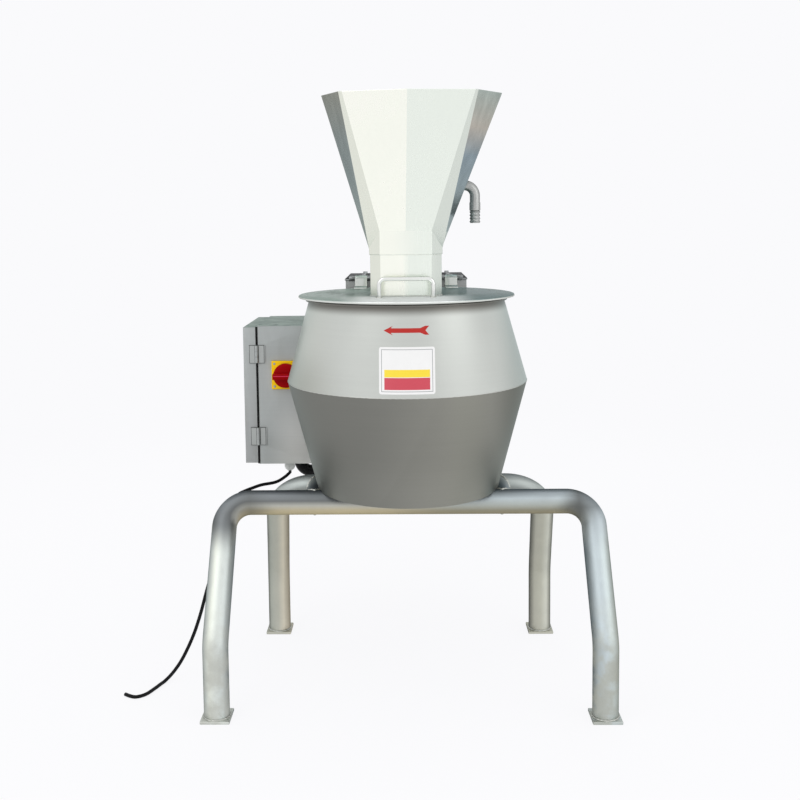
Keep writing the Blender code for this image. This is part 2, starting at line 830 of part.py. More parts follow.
flare = loft(
    "hopper_flare",
    [
        [(x, y, FLARE_BASE) for x, y in NECK],
        [(*corner, knee_height(corner)) for corner in NECK],
        [(x, y, MOUTH_Z) for x, y in mouth()],
    ],
    BRIGHT_STEEL,
    at=LID_AXIS,
)
PIPE_Z = FLARE_BASE + PIPE_RISE
SIDE_SHARE = (PIPE_RISE - SIDE_KNEE_RISE) / (FLARE_HEIGHT - SIDE_KNEE_RISE)
PIPE_WALL_X = NECK_HALF_X + SIDE_SHARE * (MOUTH_SIDE_X - NECK_HALF_X)
cut_rods(
    flare,
    "pipe_hole",
    [(PIPE_WALL_X - FINGER, 0, PIPE_Z)],
    2 * FINGER,
    clear_of(PIPE_RADIUS, 24),
    "X",
)

handle_half = HANDLE_WIDTH / 2
handle = tube(
    "lid_handle",
    rounded_path(
        [
            (-handle_half, -HANDLE_Y, LID_TOP + GAP),
            (-handle_half, -HANDLE_Y, LID_TOP + HANDLE_HEIGHT),
            (handle_half, -HANDLE_Y, LID_TOP + HANDLE_HEIGHT),
            (handle_half, -HANDLE_Y, LID_TOP + GAP),
        ],
        HANDLE_BEND,
        22.5,
    ),
    HANDLE_ROD,
    BRIGHT_STEEL,
    3,
)
on_lid(handle)

pipe_corners = [
    (PIPE_WALL_X - FINGER / 2, 0, PIPE_Z),
    (PIPE_REACH, 0, PIPE_Z),
    (PIPE_REACH, 0, PIPE_Z - PIPE_DROP),
]
pipe = as_mesh(tube("water_pipe", rounded_path(pipe_corners, PIPE_BEND), PIPE_RADIUS, BRIGHT_STEEL, 4))
TAIL_LAP = 0.003
bore_corners = [
    (PIPE_WALL_X - FINGER, 0, PIPE_Z),
    (PIPE_REACH, 0, PIPE_Z),
    (PIPE_REACH, 0, PIPE_Z - PIPE_DROP - TAIL_LENGTH - FINGER),
]


def barbed_profile():
    """Down the outer side: a plain collar and then one saw tooth for each barb."""
    start = 0.35 * TAIL_LENGTH
    pitch = (TAIL_LENGTH - start) / TAIL_BARBS
    collar = PIPE_RADIUS + TAIL_STEP
    root = PIPE_RADIUS - TAIL_STEP
    profile = [(0, TAIL_LAP), (collar, TAIL_LAP), (collar, -start)]
    for i in range(TAIL_BARBS):
        top = -start - i * pitch
        profile += [(root, top - 0.15 * pitch), (collar, top - 0.55 * pitch)]
        profile.append((root, top - 0.95 * pitch))
    return profile + [(root, -TAIL_LENGTH), (0, -TAIL_LENGTH)]


TAIL_AT = (PIPE_REACH, 0, PIPE_Z - PIPE_DROP)
on_lid(pipe)
boolean(pipe, turned("hose_tail", barbed_profile(), None, 14, TAIL_AT, closed=False, home=helpers), "UNION")
boolean(
    pipe,
    as_mesh(tube("pipe_bore", rounded_path(bore_corners, PIPE_BEND), PIPE_BORE, None, 4, helpers)),
)

# Lid hinges on the top plate of the drive housing

KNUCKLE_BORE = HINGE_PIN_RADIUS + GAP
STRAP_FRONT = LID_AXIS_Y - 2 * KNUCKLE_RADIUS - STRAP_LENGTH


def strap_profile():
    """Side view of a hinge strap: along the lid, up in front of the knuckle, and back to it."""
    base, thick = LID_TOP - LID_THICKNESS / 2, LEAF_THICKNESS
    riser = LID_AXIS_Y - 3 * KNUCKLE_RADIUS
    return [
        (STRAP_FRONT, base),
        (riser, base),
        (riser, LID_AXIS_Z - thick / 2),
        (LID_AXIS_Y, LID_AXIS_Z - thick / 2),
        (LID_AXIS_Y, LID_AXIS_Z + thick / 2),
        (riser - thick, LID_AXIS_Z + thick / 2),
        (riser - thick, LID_TOP + thick),
        (STRAP_FRONT, LID_TOP + thick),
    ]


KNUCKLE_INNER = STRAP_WIDTH / 2 + GAP
KNUCKLE_OUTER = KNUCKLE_INNER + FIXED_KNUCKLE
LEAF_FRONT = TOP_PLATE_FRONT
LEAF_BOLT_Y = LEAF_FRONT + 0.6 * LEAF_LENGTH
straps, strap_rolls = bmesh.new(), bmesh.new()
for middle in (-HINGE_X, HINGE_X):
    first = middle - STRAP_WIDTH / 2
    side_view = [
        [straps.verts.new((x, y, z)) for y, z in strap_profile()] for x in (first, first + STRAP_WIDTH)
    ]
    straps.faces.new(side_view[0])
    straps.faces.new(side_view[1][::-1])
    for i in range(len(side_view[0])):
        j = (i + 1) % len(side_view[0])
        straps.faces.new((side_view[0][j], side_view[0][i], side_view[1][i], side_view[1][j]))
    add_rod(strap_rolls, (first, LID_AXIS_Y, LID_AXIS_Z), STRAP_WIDTH, KNUCKLE_RADIUS, "X", 16)
boolean(lid, from_bmesh("lid_straps", straps, None, helpers), "UNION")
boolean(lid, from_bmesh("lid_strap_rolls", strap_rolls, None, helpers), "UNION")
cut_rods(
    lid,
    "lid_strap_bores",
    [(middle - KNUCKLE_OUTER - GAP, LID_AXIS_Y, LID_AXIS_Z) for middle in (-HINGE_X, HINGE_X)],
    2 * (KNUCKLE_OUTER + GAP),
    KNUCKLE_BORE,
    "X",
    16,
)
for hand, middle in (("left", -HINGE_X), ("right", HINGE_X)):
    leaf = box(
        f"hinge_leaf_{hand}",
        (middle - KNUCKLE_OUTER, LEAF_FRONT, LEAF_BASE),
        (middle + KNUCKLE_OUTER, LEAF_FRONT + LEAF_LENGTH, LEAF_TOP),
        BRIGHT_STEEL,
    )
    fingers, rolls = bmesh.new(), bmesh.new()
    for first in (middle - KNUCKLE_OUTER, middle + KNUCKLE_INNER):
        last = first + FIXED_KNUCKLE
        add_box(fingers, (first, LID_AXIS_Y, LEAF_BASE), (last, LEAF_FRONT + GAP, LEAF_TOP))
        add_rod(rolls, (first, LID_AXIS_Y, LID_AXIS_Z), FIXED_KNUCKLE, KNUCKLE_RADIUS, "X", 16)
    add_rod(rolls, (middle, LEAF_BOLT_Y, LEAF_TOP - GAP), BOLT_HEAD_HEIGHT + GAP, BOLT_HEAD, "Z", 6)
    boolean(leaf, from_bmesh(f"leaf_fingers_{hand}", fingers, None, helpers), "UNION")
    boolean(leaf, from_bmesh(f"leaf_rolls_{hand}", rolls, None, helpers), "UNION")
    cut_rods(
        leaf,
        f"leaf_bore_{hand}",
        [(middle - KNUCKLE_OUTER - GAP, LID_AXIS_Y, LID_AXIS_Z)],
        2 * (KNUCKLE_OUTER + GAP),
        KNUCKLE_BORE,
        "X",
        16,
    )
    rods(
        f"lid_hinge_pin_{hand}",
        [(middle - KNUCKLE_OUTER, LID_AXIS_Y, LID_AXIS_Z)],
        2 * KNUCKLE_OUTER,
        HINGE_PIN_RADIUS,
        BRIGHT_STEEL,
        "X",
        16,
        at=LID_AXIS,
    )

# Cutting head: feed cone, knife ring, knives, clamps and arms


def inner_radius(height):
    return barrel_radius(height) - BARREL_WALL * math.hypot(1, (RIDGE_RADIUS - BOTTOM_RADIUS) / LOWER_HEIGHT)


FEED_TOP_RADIUS = RIM_INNER + 0.003
FEED_BASE_RADIUS = RING_RADIUS + RING_WALL + 0.008
turned(
    "feed_cone",
    [
        (FEED_TOP_RADIUS, BARREL_TOP - GAP),
        (FEED_BASE_RADIUS, RING_TOP + GAP),
        (FEED_BASE_RADIUS - SHEET, RING_TOP + GAP),
        (FEED_TOP_RADIUS - SHEET, BARREL_TOP - GAP),
    ],
    BRUSHED_STEEL,
    40,
)
RING_OUTER = RING_RADIUS + RING_WALL
knife_ring = turned(
    "knife_ring",
    [
        (RING_OUTER + RING_FLANGE, RING_TOP),
        (RING_OUTER + RING_FLANGE, RING_TOP - RING_FLANGE_THICKNESS),
        (RING_OUTER, RING_TOP - RING_FLANGE_THICKNESS),
        (RING_OUTER, RING_BASE + RING_FLANGE_THICKNESS),
        (RING_OUTER + RING_FLANGE, RING_BASE + RING_FLANGE_THICKNESS),
        (RING_OUTER + RING_FLANGE, RING_BASE),
        (RING_RADIUS, RING_BASE),
        (RING_RADIUS, RING_TOP),
    ],
    BRIGHT_STEEL,
    40,
)
KNIFE_TURNS = [math.tau * (i + 0.5) / KNIFE_COUNT for i in range(KNIFE_COUNT)]
KNIFE_BASE = RING_BASE + RING_FLANGE_THICKNESS + RUNNING_GAP
KNIFE_TOP = RING_TOP - RING_FLANGE_THICKNESS - RUNNING_GAP
WINDOW_MARGIN = 0.006
cut_boxes(
    knife_ring,
    "ring_windows",
    [
        (
            (RING_RADIUS - FINGER, -WINDOW_WIDTH / 2, KNIFE_BASE + WINDOW_MARGIN),
            (RING_OUTER + RING_FLANGE / 2, WINDOW_WIDTH / 2, KNIFE_TOP - WINDOW_MARGIN),
        )
    ],
    KNIFE_TURNS,
)
KNIFE_FACE = RING_OUTER + GAP
EDGE_REACH = 0.012


def knife_outline():
    """Seen from above, the blade lies flat on the ring, and its edge is ground to a wedge."""
    heel = WINDOW_WIDTH / 2 - EDGE_REACH + KNIFE_WIDTH
    edge = WINDOW_WIDTH / 2 - EDGE_REACH
    return [
        (KNIFE_FACE, edge),
        (KNIFE_FACE + KNIFE_THICKNESS, edge + 2.5 * KNIFE_THICKNESS),
        (KNIFE_FACE + KNIFE_THICKNESS, heel),
        (KNIFE_FACE, heel),
    ]


def add_prism(shape, outline, base, top, turn):
    """An upright prism on an outline, turned about the barrel's axis."""
    spin = Matrix.Rotation(turn, 3, "Z")
    rows = [[shape.verts.new(spin @ Vector((x, y, z))) for x, y in outline] for z in (base, top)]
    shape.faces.new(rows[0][::-1])
    shape.faces.new(rows[1])
    for i in range(len(outline)):
        j = (i + 1) % len(outline)
        shape.faces.new((rows[0][i], rows[0][j], rows[1][j], rows[1][i]))


clamps = bmesh.new()
CLAMP_FACE = KNIFE_FACE + KNIFE_THICKNESS + GAP
KNIFE_HEEL = WINDOW_WIDTH / 2 - EDGE_REACH + KNIFE_WIDTH
CLAMP_HEEL = KNIFE_HEEL + GAP
CLAMP_NOSE = KNIFE_HEEL - CLAMP_WIDTH
CLAMP_BACK = CLAMP_FACE + CLAMP_THICKNESS
CLAMP_FOOT = math.sqrt(RING_OUTER**2 - (CLAMP_HEEL + CLAMP_THICKNESS) ** 2) - RING_WALL / 2
for i, turn in enumerate(KNIFE_TURNS):
    knife = bmesh.new()
    add_prism(knife, knife_outline(), KNIFE_BASE, KNIFE_TOP, turn)
    from_bmesh(f"slicing_knife_{i + 1}", knife, KNIFE_STEEL)
    clamp = [
        (CLAMP_FACE, CLAMP_NOSE),
        (CLAMP_FACE + CLAMP_THICKNESS / 2, CLAMP_NOSE),
        (CLAMP_BACK, CLAMP_NOSE + CLAMP_THICKNESS),
        (CLAMP_BACK, CLAMP_HEEL + CLAMP_THICKNESS),
        (CLAMP_FOOT, CLAMP_HEEL + CLAMP_THICKNESS),
        (CLAMP_FOOT, CLAMP_HEEL),
        (CLAMP_FACE, CLAMP_HEEL),
    ]
    add_prism(clamps, clamp, KNIFE_BASE, KNIFE_TOP, turn)
boolean(knife_ring, from_bmesh("knife_clamps", clamps, None, helpers), "UNION")

arms = bmesh.new()
ARM_TOP = RING_BASE + RING_FLANGE_THICKNESS / 2
ARM_BASE = ARM_TOP - ARM_THICKNESS
ARM_REACH = inner_radius(ARM_BASE) * math.cos(math.pi / BARREL_STEPS) - GAP
ARM_END = math.sqrt(ARM_REACH**2 - (ARM_WIDTH / 2) ** 2)
for i in range(ARM_COUNT):
    turn = math.tau * (i + 0.5) / ARM_COUNT
    add_box(arms, (RING_OUTER, -ARM_WIDTH / 2, ARM_BASE), (ARM_END, ARM_WIDTH / 2, ARM_TOP), turn)
boolean(knife_ring, from_bmesh("ring_arms", arms, None, helpers), "UNION")

# Rotor: impeller disc, paddles, cap, spindle and its pulley

impeller = turned(
    "impeller",
    [
        (DISC_RADIUS, DISC_TOP),
        (DISC_RADIUS, DISC_BASE),
        (HUB_RADIUS, DISC_BASE),
        (HUB_RADIUS - 0.002, HUB_BASE),
        (SPINDLE_RADIUS + GAP, HUB_BASE),
        (SPINDLE_RADIUS + GAP, DISC_TOP),
    ],
    BRIGHT_STEEL,
    40,
)


def paddle_outline():
    """A swept paddle: one arc out from the hub and the same arc back, a thickness away."""
    outer = DISC_RADIUS - PADDLE_THICKNESS / 4
    steps = 8
    lead, trail = [], []
    for i in range(steps + 1):
        radius = PADDLE_INNER + (outer - PADDLE_INNER) * i / steps
        angle = -math.radians(PADDLE_SWEEP) * (i / steps) ** 1.5
        half = PADDLE_THICKNESS / 2 / radius
        lead.append((radius * math.cos(angle + half), radius * math.sin(angle + half)))
        trail.append((radius * math.cos(angle - half), radius * math.sin(angle - half)))
    return trail + lead[::-1]


paddles = bmesh.new()
for i in range(PADDLE_COUNT):
    turn = math.tau * i / PADDLE_COUNT
    add_prism(paddles, paddle_outline(), DISC_TOP - DISC_THICKNESS / 2, RING_TOP - IMPELLER_PLAY, turn)
boolean(impeller, from_bmesh("impeller_paddles", paddles, None, helpers), "UNION")

SPINDLE_TOP = DISC_TOP + CAP_HEIGHT / 2
CAP_BORE = SPINDLE_RADIUS + GAP
CAP_BASE = DISC_TOP + GAP
CAP_SIDE = 0.3 * CAP_HEIGHT
dome = [
    (HUB_RADIUS * x, CAP_BASE + CAP_SIDE + (CAP_HEIGHT - CAP_SIDE) * z) for x, z in arc(1, 75, 0, 5)
]
turned(
    "impeller_cap",
    [
        (0, CAP_BASE + CAP_HEIGHT),
        *dome,
        (HUB_RADIUS, CAP_BASE),
        (CAP_BORE, CAP_BASE),
        (CAP_BORE, SPINDLE_TOP + GAP),
        (0, SPINDLE_TOP + GAP),
    ],
    BRIGHT_STEEL,
    24,
    closed=False,
)
BEARING_TOP = FLANGE_TOP - 0.005
HOUSING_BASE = BEARING_TOP - BEARING_SPACING - BEARING_WIDTH - 0.005
turned(
    "spindle",
    [
        (0, SPINDLE_TOP),
        (SPINDLE_RADIUS - 0.001, SPINDLE_TOP),
        (SPINDLE_RADIUS, SPINDLE_TOP - 0.001),
        (SPINDLE_RADIUS, HOUSING_BASE + 0.001),
        (SPINDLE_RADIUS - 0.001, HOUSING_BASE),
        (0, HOUSING_BASE),
    ],
    KNIFE_STEEL,
    20,
    closed=False,
)


def pulley(name, radius, bore, y, steps):
    middle = (PULLEY_BASE + PULLEY_TOP) / 2
    floor = radius - GROOVE_DEPTH
    hub = bore + 0.010
    web = 0.005
    profile = [
        (radius, PULLEY_TOP),
        (radius, middle + GROOVE_TOP / 2),
        (floor, middle + GROOVE_BOTTOM / 2),
        (floor, middle - GROOVE_BOTTOM / 2),
        (radius, middle - GROOVE_TOP / 2),
        (radius, PULLEY_BASE),
    ]
    inner = floor - 0.006
    if inner > hub + 0.010:
        profile += [(inner, PULLEY_BASE), (inner, middle - web), (hub, middle - web), (hub, PULLEY_BASE)]
        profile += [(bore, PULLEY_BASE), (bore, PULLEY_TOP), (hub, PULLEY_TOP)]
        profile += [(hub, middle + web), (inner, middle + web), (inner, PULLEY_TOP)]
    else:
        profile += [(bore, PULLEY_BASE), (bore, PULLEY_TOP)]
    return turned(name, profile, CAST_IRON, steps, at=(0, y, 0))


pulley("spindle_pulley", SPINDLE_PULLEY_RADIUS, SPINDLE_RADIUS + GAP, 0, 32)
pulley("motor_pulley", MOTOR_PULLEY_RADIUS, MOTOR_SHAFT_RADIUS + GAP, MOTOR_Y, 24)


def belt_loop(inset):
    """The belt's line round both pulleys at a depth under their rims: two arcs and two tangents."""
    big, small = SPINDLE_PULLEY_RADIUS - inset, MOTOR_PULLEY_RADIUS - inset
    lean = math.degrees(math.asin((big - small) / MOTOR_Y))
    front = arc(big, 180 - lean, 360 + lean, 22)
    back = arc(small, lean, 180 - lean, 12, (0, MOTOR_Y))
    return front + back


def belt():
    """A V-belt: wide outside, narrow inside, clear of the grooves by the running gap."""
    middle = (PULLEY_BASE + PULLEY_TOP) / 2
    slope = (GROOVE_TOP - GROOVE_BOTTOM) / 2 / GROOVE_DEPTH
    inner_inset = BELT_DEPTH
    outer_half = GROOVE_TOP / 2 - 2 * RUNNING_GAP
    inner_half = outer_half - slope * BELT_DEPTH
    shape = bmesh.new()
    rows = []
    for inset, half in ((0.0, outer_half), (inner_inset, inner_half)):
        for z in (middle + half, middle - half):
            rows.append([shape.verts.new((x, y, z)) for x, y in belt_loop(inset)])
    outer_top, outer_low, inner_top, inner_low = rows
    around = [outer_top, outer_low, inner_low, inner_top]
    for first, second in zip(around, around[1:] + around[:1]):
        for i in range(len(first)):
            j = (i + 1) % len(first)
            shape.faces.new((first[i], first[j], second[j], second[i]))
    return from_bmesh("drive_belt", shape, BLACK_RUBBER)


belt()

# Bearing housing between the spindle beams

cut_rods(
    spindle_carrier,
    "carrier_hole",
    [(0, 0, FRAME_HEIGHT)],
    PLATE_TOP - FRAME_HEIGHT + GAP,
    clear_of(HOUSING_RADIUS),
    "Z",
    32,
)
SEAT = BEARING_RADIUS + GAP
SHOULDER = BEARING_RADIUS - 0.004
LOWER_BEARING = BEARING_TOP - BEARING_SPACING
turned(
    "bearing_housing",
    [
        (HOUSING_FLANGE, FLANGE_TOP),
        (HOUSING_FLANGE, FLANGE_BASE),
        (HOUSING_RADIUS, FLANGE_BASE),
        (HOUSING_RADIUS, HOUSING_BASE),
        (SHOULDER, HOUSING_BASE),
        (SHOULDER, LOWER_BEARING - BEARING_WIDTH - GAP),
        (SEAT, LOWER_BEARING - BEARING_WIDTH - GAP),
        (SEAT, LOWER_BEARING + GAP),
        (SHOULDER, LOWER_BEARING + GAP),
        (SHOULDER, BEARING_TOP - BEARING_WIDTH - GAP),
        (SEAT, BEARING_TOP - BEARING_WIDTH - GAP),
        (SEAT, FLANGE_TOP),
    ],
    CAST_IRON,
    24,
)


def bearing_profile(top):
    """A shielded ball bearing: two races with a shield set back between them."""
    inner, outer = SPINDLE_RADIUS + GAP, BEARING_RADIUS
    race, base, sunk = 0.004, top - BEARING_WIDTH, 0.001
    return [
        (outer, top),
        (outer, base),
        (outer - race, base),
        (outer - race, base + sunk),
        (inner + race, base + sunk),
        (inner + race, base),
        (inner, base),
        (inner, top),
        (inner + race, top),
        (inner + race, top - sunk),
        (outer - race, top - sunk),
        (outer - race, top),
    ]


turned("upper_bearing", bearing_profile(BEARING_TOP), KNIFE_STEEL, 20)
turned("lower_bearing", bearing_profile(LOWER_BEARING), KNIFE_STEEL, 20)

# Belt tray and cover, which pass through the back of the barrel


def tray_outline(half, back):
    return [*arc(half, 180, 360, 20), (half, back), (-half, back)]


TRAY_PLAN = tray_outline(TRAY_HALF, CASE_FRONT - GAP)
tray = outline_solid("belt_tray", [TRAY_PLAN], TRAY_BASE, TRAY_TOP, BRUSHED_STEEL)
boolean(
    tray,
    outline_solid(
        "tray_inside",
        [tray_outline(TRAY_HALF - SHEET, CASE_FRONT + FINGER)],
        TRAY_FLOOR,
        TRAY_TOP + FINGER,
        None,
        helpers,
    ),
)
cut_rods(tray, "tray_flange_hole", [(0, 0, TRAY_BASE - GAP)], 4 * SHEET, clear_of(HOUSING_FLANGE), "Z", 32)
cover = outline_solid("belt_cover", [TRAY_PLAN], COVER_BASE, COVER_TOP, BRUSHED_STEEL)
cut_rods(cover, "cover_spindle_hole", [(0, 0, COVER_BASE - SHEET)], 4 * SHEET, HUB_RADIUS - FINGER / 2)

# Drive housing: floor, folded shell, rear cover and top plate

shell_outline = [
    (-CASE_HALF_X, CASE_BACK),
    (-CASE_HALF_X, CASE_FRONT),
    (CASE_HALF_X, CASE_FRONT),
    (CASE_HALF_X, CASE_BACK),
    (CASE_HALF_X - SHEET, CASE_BACK),
    (CASE_HALF_X - SHEET, CASE_FRONT + SHEET),
    (-CASE_HALF_X + SHEET, CASE_FRONT + SHEET),
    (-CASE_HALF_X + SHEET, CASE_BACK),
]
shell = outline_solid("housing_shell", [shell_outline], CASE_UNDERSIDE, CASE_TOP, BRUSHED_STEEL)
cut_boxes(
    shell,
    "shell_belt_opening",
    [
        (
            (-TRAY_HALF + SHEET, CASE_FRONT - SHEET, TRAY_FLOOR),
            (TRAY_HALF - SHEET, CASE_FRONT + 2 * SHEET, TRAY_TOP),
        )
    ],
)
cut_rods(
    shell,
    "shell_conduit_hole",
    [(-CASE_HALF_X - SHEET, CONDUIT_Y, CONDUIT_END_Z)],
    3 * SHEET,
    CONDUIT_RADIUS,
    "X",
)
rear_cover = box(
    "rear_cover",
    (-CASE_HALF_X, CASE_BACK + GAP, CASE_UNDERSIDE),
    (CASE_HALF_X, REAR_COVER_BACK, CASE_TOP),
    BRUSHED_STEEL,
)
LOUVRE_COUNT = 6
LOUVRE_PITCH = 0.018
LOUVRE_HEIGHT = 0.006
LOUVRE_HALF = 0.085
cut_boxes(
    rear_cover,
    "rear_cover_louvres",
    [
        (
            (-LOUVRE_HALF, CASE_BACK - SHEET, CASE_TOP - 0.15 - i * LOUVRE_PITCH),
            (LOUVRE_HALF, REAR_COVER_BACK + SHEET, CASE_TOP - 0.15 - i * LOUVRE_PITCH + LOUVRE_HEIGHT),
        )
        for i in range(LOUVRE_COUNT)
    ],
)
top_plate = box(
    "housing_top_plate",
    (-CASE_HALF_X - TOP_PLATE_LIP, TOP_PLATE_FRONT, TOP_PLATE_BASE),
    (CASE_HALF_X + TOP_PLATE_LIP, REAR_COVER_BACK, TOP_PLATE_TOP),
    BRUSHED_STEEL,
    bevel=TOP_PLATE_THICKNESS / 8,
)
top_bolts = bmesh.new()
for x in (-HINGE_X, HINGE_X):
    for y in (CASE_FRONT + 0.55 * CASE_DEPTH, CASE_BACK - 0.06 * CASE_DEPTH):
        add_rod(top_bolts, (x, y, TOP_PLATE_TOP - GAP), BOLT_HEAD_HEIGHT + GAP, BOLT_HEAD, "Z", 6)
boolean(top_plate, from_bmesh("top_plate_bolts", top_bolts, None, helpers), "UNION")

# Motor on its plate, with its shaft down

standoff_x = MOTOR_PLATE_X - 2 * STANDOFF_RADIUS
standoff_y = MOTOR_PLATE_Y - 2 * STANDOFF_RADIUS
motor_plate = box(
    "motor_plate",
    (-MOTOR_PLATE_X, MOTOR_Y - MOTOR_PLATE_Y, MOTOR_PLATE_BASE),
    (MOTOR_PLATE_X, MOTOR_Y + MOTOR_PLATE_Y, MOTOR_PLATE_BASE + MOTOR_PLATE_THICKNESS),
    BRUSHED_STEEL,
)
standoffs = bmesh.new()
for x in (-standoff_x, standoff_x):
    for y in (MOTOR_Y - standoff_y, MOTOR_Y + standoff_y):
        start = (x, y, CARRIER_TOP + GAP)
        add_rod(standoffs, start, STANDOFF_HEIGHT + MOTOR_PLATE_THICKNESS / 2, STANDOFF_RADIUS, "Z", 12)
boolean(motor_plate, from_bmesh("motor_standoffs", standoffs, None, helpers), "UNION")
cut_rods(
    motor_plate,
    "motor_plate_hole",
    [(0, MOTOR_Y, MOTOR_PLATE_BASE - GAP)],
    MOTOR_PLATE_THICKNESS + 2 * GAP,
    2.5 * MOTOR_SHAFT_RADIUS,
    "Z",
    24,
)
SHAFT_HOLE = MOTOR_SHAFT_RADIUS + GAP
SHIELD_RADIUS = MOTOR_RADIUS + FIN_DEPTH - 0.002
UPPER_SHIELD = MOTOR_BASE + SHIELD_THICKNESS + MOTOR_LENGTH
COWL_BASE = UPPER_SHIELD + SHIELD_THICKNESS + GAP
COWL_TOP = COWL_BASE + COWL_HEIGHT
MOTOR_AXIS = (0, MOTOR_Y, 0)


def finned_outline():
    """The motor's body from above: a round frame with a cooling fin at every pitch."""
    pitch = 360 / FIN_COUNT
    outline = []
    for i in range(FIN_COUNT):
        start = i * pitch
        outline += arc(MOTOR_RADIUS, start - 0.40 * pitch, start - 0.15 * pitch, 1)
        outline += arc(MOTOR_RADIUS + FIN_DEPTH, start - 0.07 * pitch, start + 0.07 * pitch, 1)
        outline += arc(MOTOR_RADIUS, start + 0.15 * pitch, start + 0.40 * pitch, 1)
    return outline


motor = outline_solid(
    "motor_body",
    [finned_outline()],
    MOTOR_BASE + SHIELD_THICKNESS / 2,
    UPPER_SHIELD + SHIELD_THICKNESS / 2,
    MOTOR_PAINT,
    at=(0, MOTOR_Y, 0),
)
SHIELDS = bmesh.new()
for base in (MOTOR_BASE, UPPER_SHIELD):
    add_rod(SHIELDS, (0, MOTOR_Y, base), SHIELD_THICKNESS, SHIELD_RADIUS, "Z", 32)
TERMINAL_LOW = (MOTOR_RADIUS, MOTOR_Y - 0.035, MOTOR_BASE + 0.060)
add_box(SHIELDS, TERMINAL_LOW, Vector(TERMINAL_LOW) + Vector((0.046, 0.070, 0.065)))
boolean(motor, from_bmesh("motor_shields", SHIELDS, None, helpers), "UNION")
cut_rods(
    motor,
    "motor_bore",
    [(0, MOTOR_Y, MOTOR_BASE - GAP)],
    COWL_BASE - MOTOR_BASE + GAP,
    SHAFT_HOLE,
    "Z",
    24,
)
cowl = turned(
    "fan_cowl",
    [
        (0, COWL_TOP),
        (SHIELD_RADIUS - COWL_EDGE, COWL_TOP),
        (SHIELD_RADIUS, COWL_TOP - COWL_EDGE),
        (SHIELD_RADIUS, COWL_BASE),
        (SHIELD_RADIUS - SHEET, COWL_BASE),
        (SHIELD_RADIUS - SHEET, COWL_TOP - COWL_EDGE - SHEET / 2),
        (SHIELD_RADIUS - COWL_EDGE - SHEET / 2, COWL_TOP - SHEET),
        (0, COWL_TOP - SHEET),
    ],
    MOTOR_PAINT,
    32,
    at=MOTOR_AXIS,
    closed=False,
)
GRILLE_HOLES = 10
cut_rods(
    cowl,
    "cowl_grille",
    [
        (0.6 * SHIELD_RADIUS * math.cos(a), MOTOR_Y + 0.6 * SHIELD_RADIUS * math.sin(a), COWL_TOP - 2 * SHEET)
        for a in (math.tau * i / GRILLE_HOLES for i in range(GRILLE_HOLES))
    ],
    4 * SHEET,
    0.1 * SHIELD_RADIUS,
    "Z",
    8,
)
FAN_BASE = COWL_BASE + FAN_PLAY
FAN_TOP = FAN_BASE + FAN_HEIGHT
SHAFT_BASE = PULLEY_BASE
turned(
    "motor_shaft",
    [(0, FAN_TOP), (MOTOR_SHAFT_RADIUS, FAN_TOP), (MOTOR_SHAFT_RADIUS, SHAFT_BASE), (0, SHAFT_BASE)],
    KNIFE_STEEL,
    24,
    at=MOTOR_AXIS,
    closed=False,
)


def fan_outline():
    """The fan from above: straight blades on a round boss."""
    boss, tip = MOTOR_SHAFT_RADIUS + FAN_BOSS, SHIELD_RADIUS - SHEET - FAN_PLAY
    outline = []
    for i in range(FAN_BLADES):
        start = 360 * i / FAN_BLADES
        outline += arc(tip, start - 1.6, start + 1.6, 1)
        outline += arc(boss, start + 8, start + 360 / FAN_BLADES - 8, 3)
    return outline


outline_solid(
    "motor_fan",
    [fan_outline(), arc(SHAFT_HOLE, 0, 345, 23)],
    FAN_BASE,
    FAN_TOP,
    GREY_PLASTIC,
    at=(0, MOTOR_Y, 0),
)
# Electrical box: body, door pan, hinges, latch and what the box holds

box_body = box(
    "box_body",
    (BOX_SEAM, BOX_FRONT, BOX_BOTTOM),
    (BOX_RIGHT, BOX_BACK, BOX_TOP),
    BOX_STEEL,
)
cut_boxes(
    box_body,
    "box_inside",
    [
        (
            (BOX_SEAM + BOX_SHEET, BOX_FRONT + BOX_SHEET, BOX_BOTTOM + BOX_SHEET),
            (BOX_RIGHT - BOX_SHEET, BOX_BACK - BOX_SHEET, BOX_TOP - BOX_SHEET),
        )
    ],
)
cut_boxes(
    box_body,
    "box_mouth",
    [
        (
            (BOX_SEAM - FINGER, BOX_FRONT + BOX_SHEET, BOX_BOTTOM + BOX_SHEET),
            (BOX_SEAM + FINGER, BOX_BACK - LATCH_LIP, BOX_TOP - BOX_SHEET),
        )
    ],
)
cut_rods(
    box_body,
    "box_switch_hole",
    [(SWITCH_X, BOX_FRONT - BOX_SHEET, SWITCH_Z)],
    3 * BOX_SHEET,
    SWITCH_STEM + 2 * RUNNING_GAP,
    "Y",
    16,
)
GLAND_THREAD = 0.6 * GLAND_RADIUS
cut_rods(
    box_body,
    "box_gland_hole",
    [(GLAND_X, GLAND_Y, BOX_BOTTOM - BOX_SHEET)],
    3 * BOX_SHEET,
    clear_of(GLAND_THREAD, 16),
    "Z",
    16,
)
CONDUIT_THREAD = CONDUIT_RADIUS - 0.002
cut_rods(
    box_body,
    "box_conduit_hole",
    [(CONDUIT_X, CONDUIT_Y, BOX_BOTTOM - BOX_SHEET)],
    3 * BOX_SHEET,
    clear_of(CONDUIT_THREAD, 16),
    "Z",
    16,
)
BUTT_AXIS = (BOX_SEAM, BUTT_AXIS_Y, BOX_BOTTOM)
door = box(
    "box_door",
    (DOOR_LEFT, BOX_FRONT, DOOR_BASE),
    (DOOR_RIGHT, BOX_BACK, DOOR_TOP),
    BOX_STEEL,
    at=BUTT_AXIS,
)
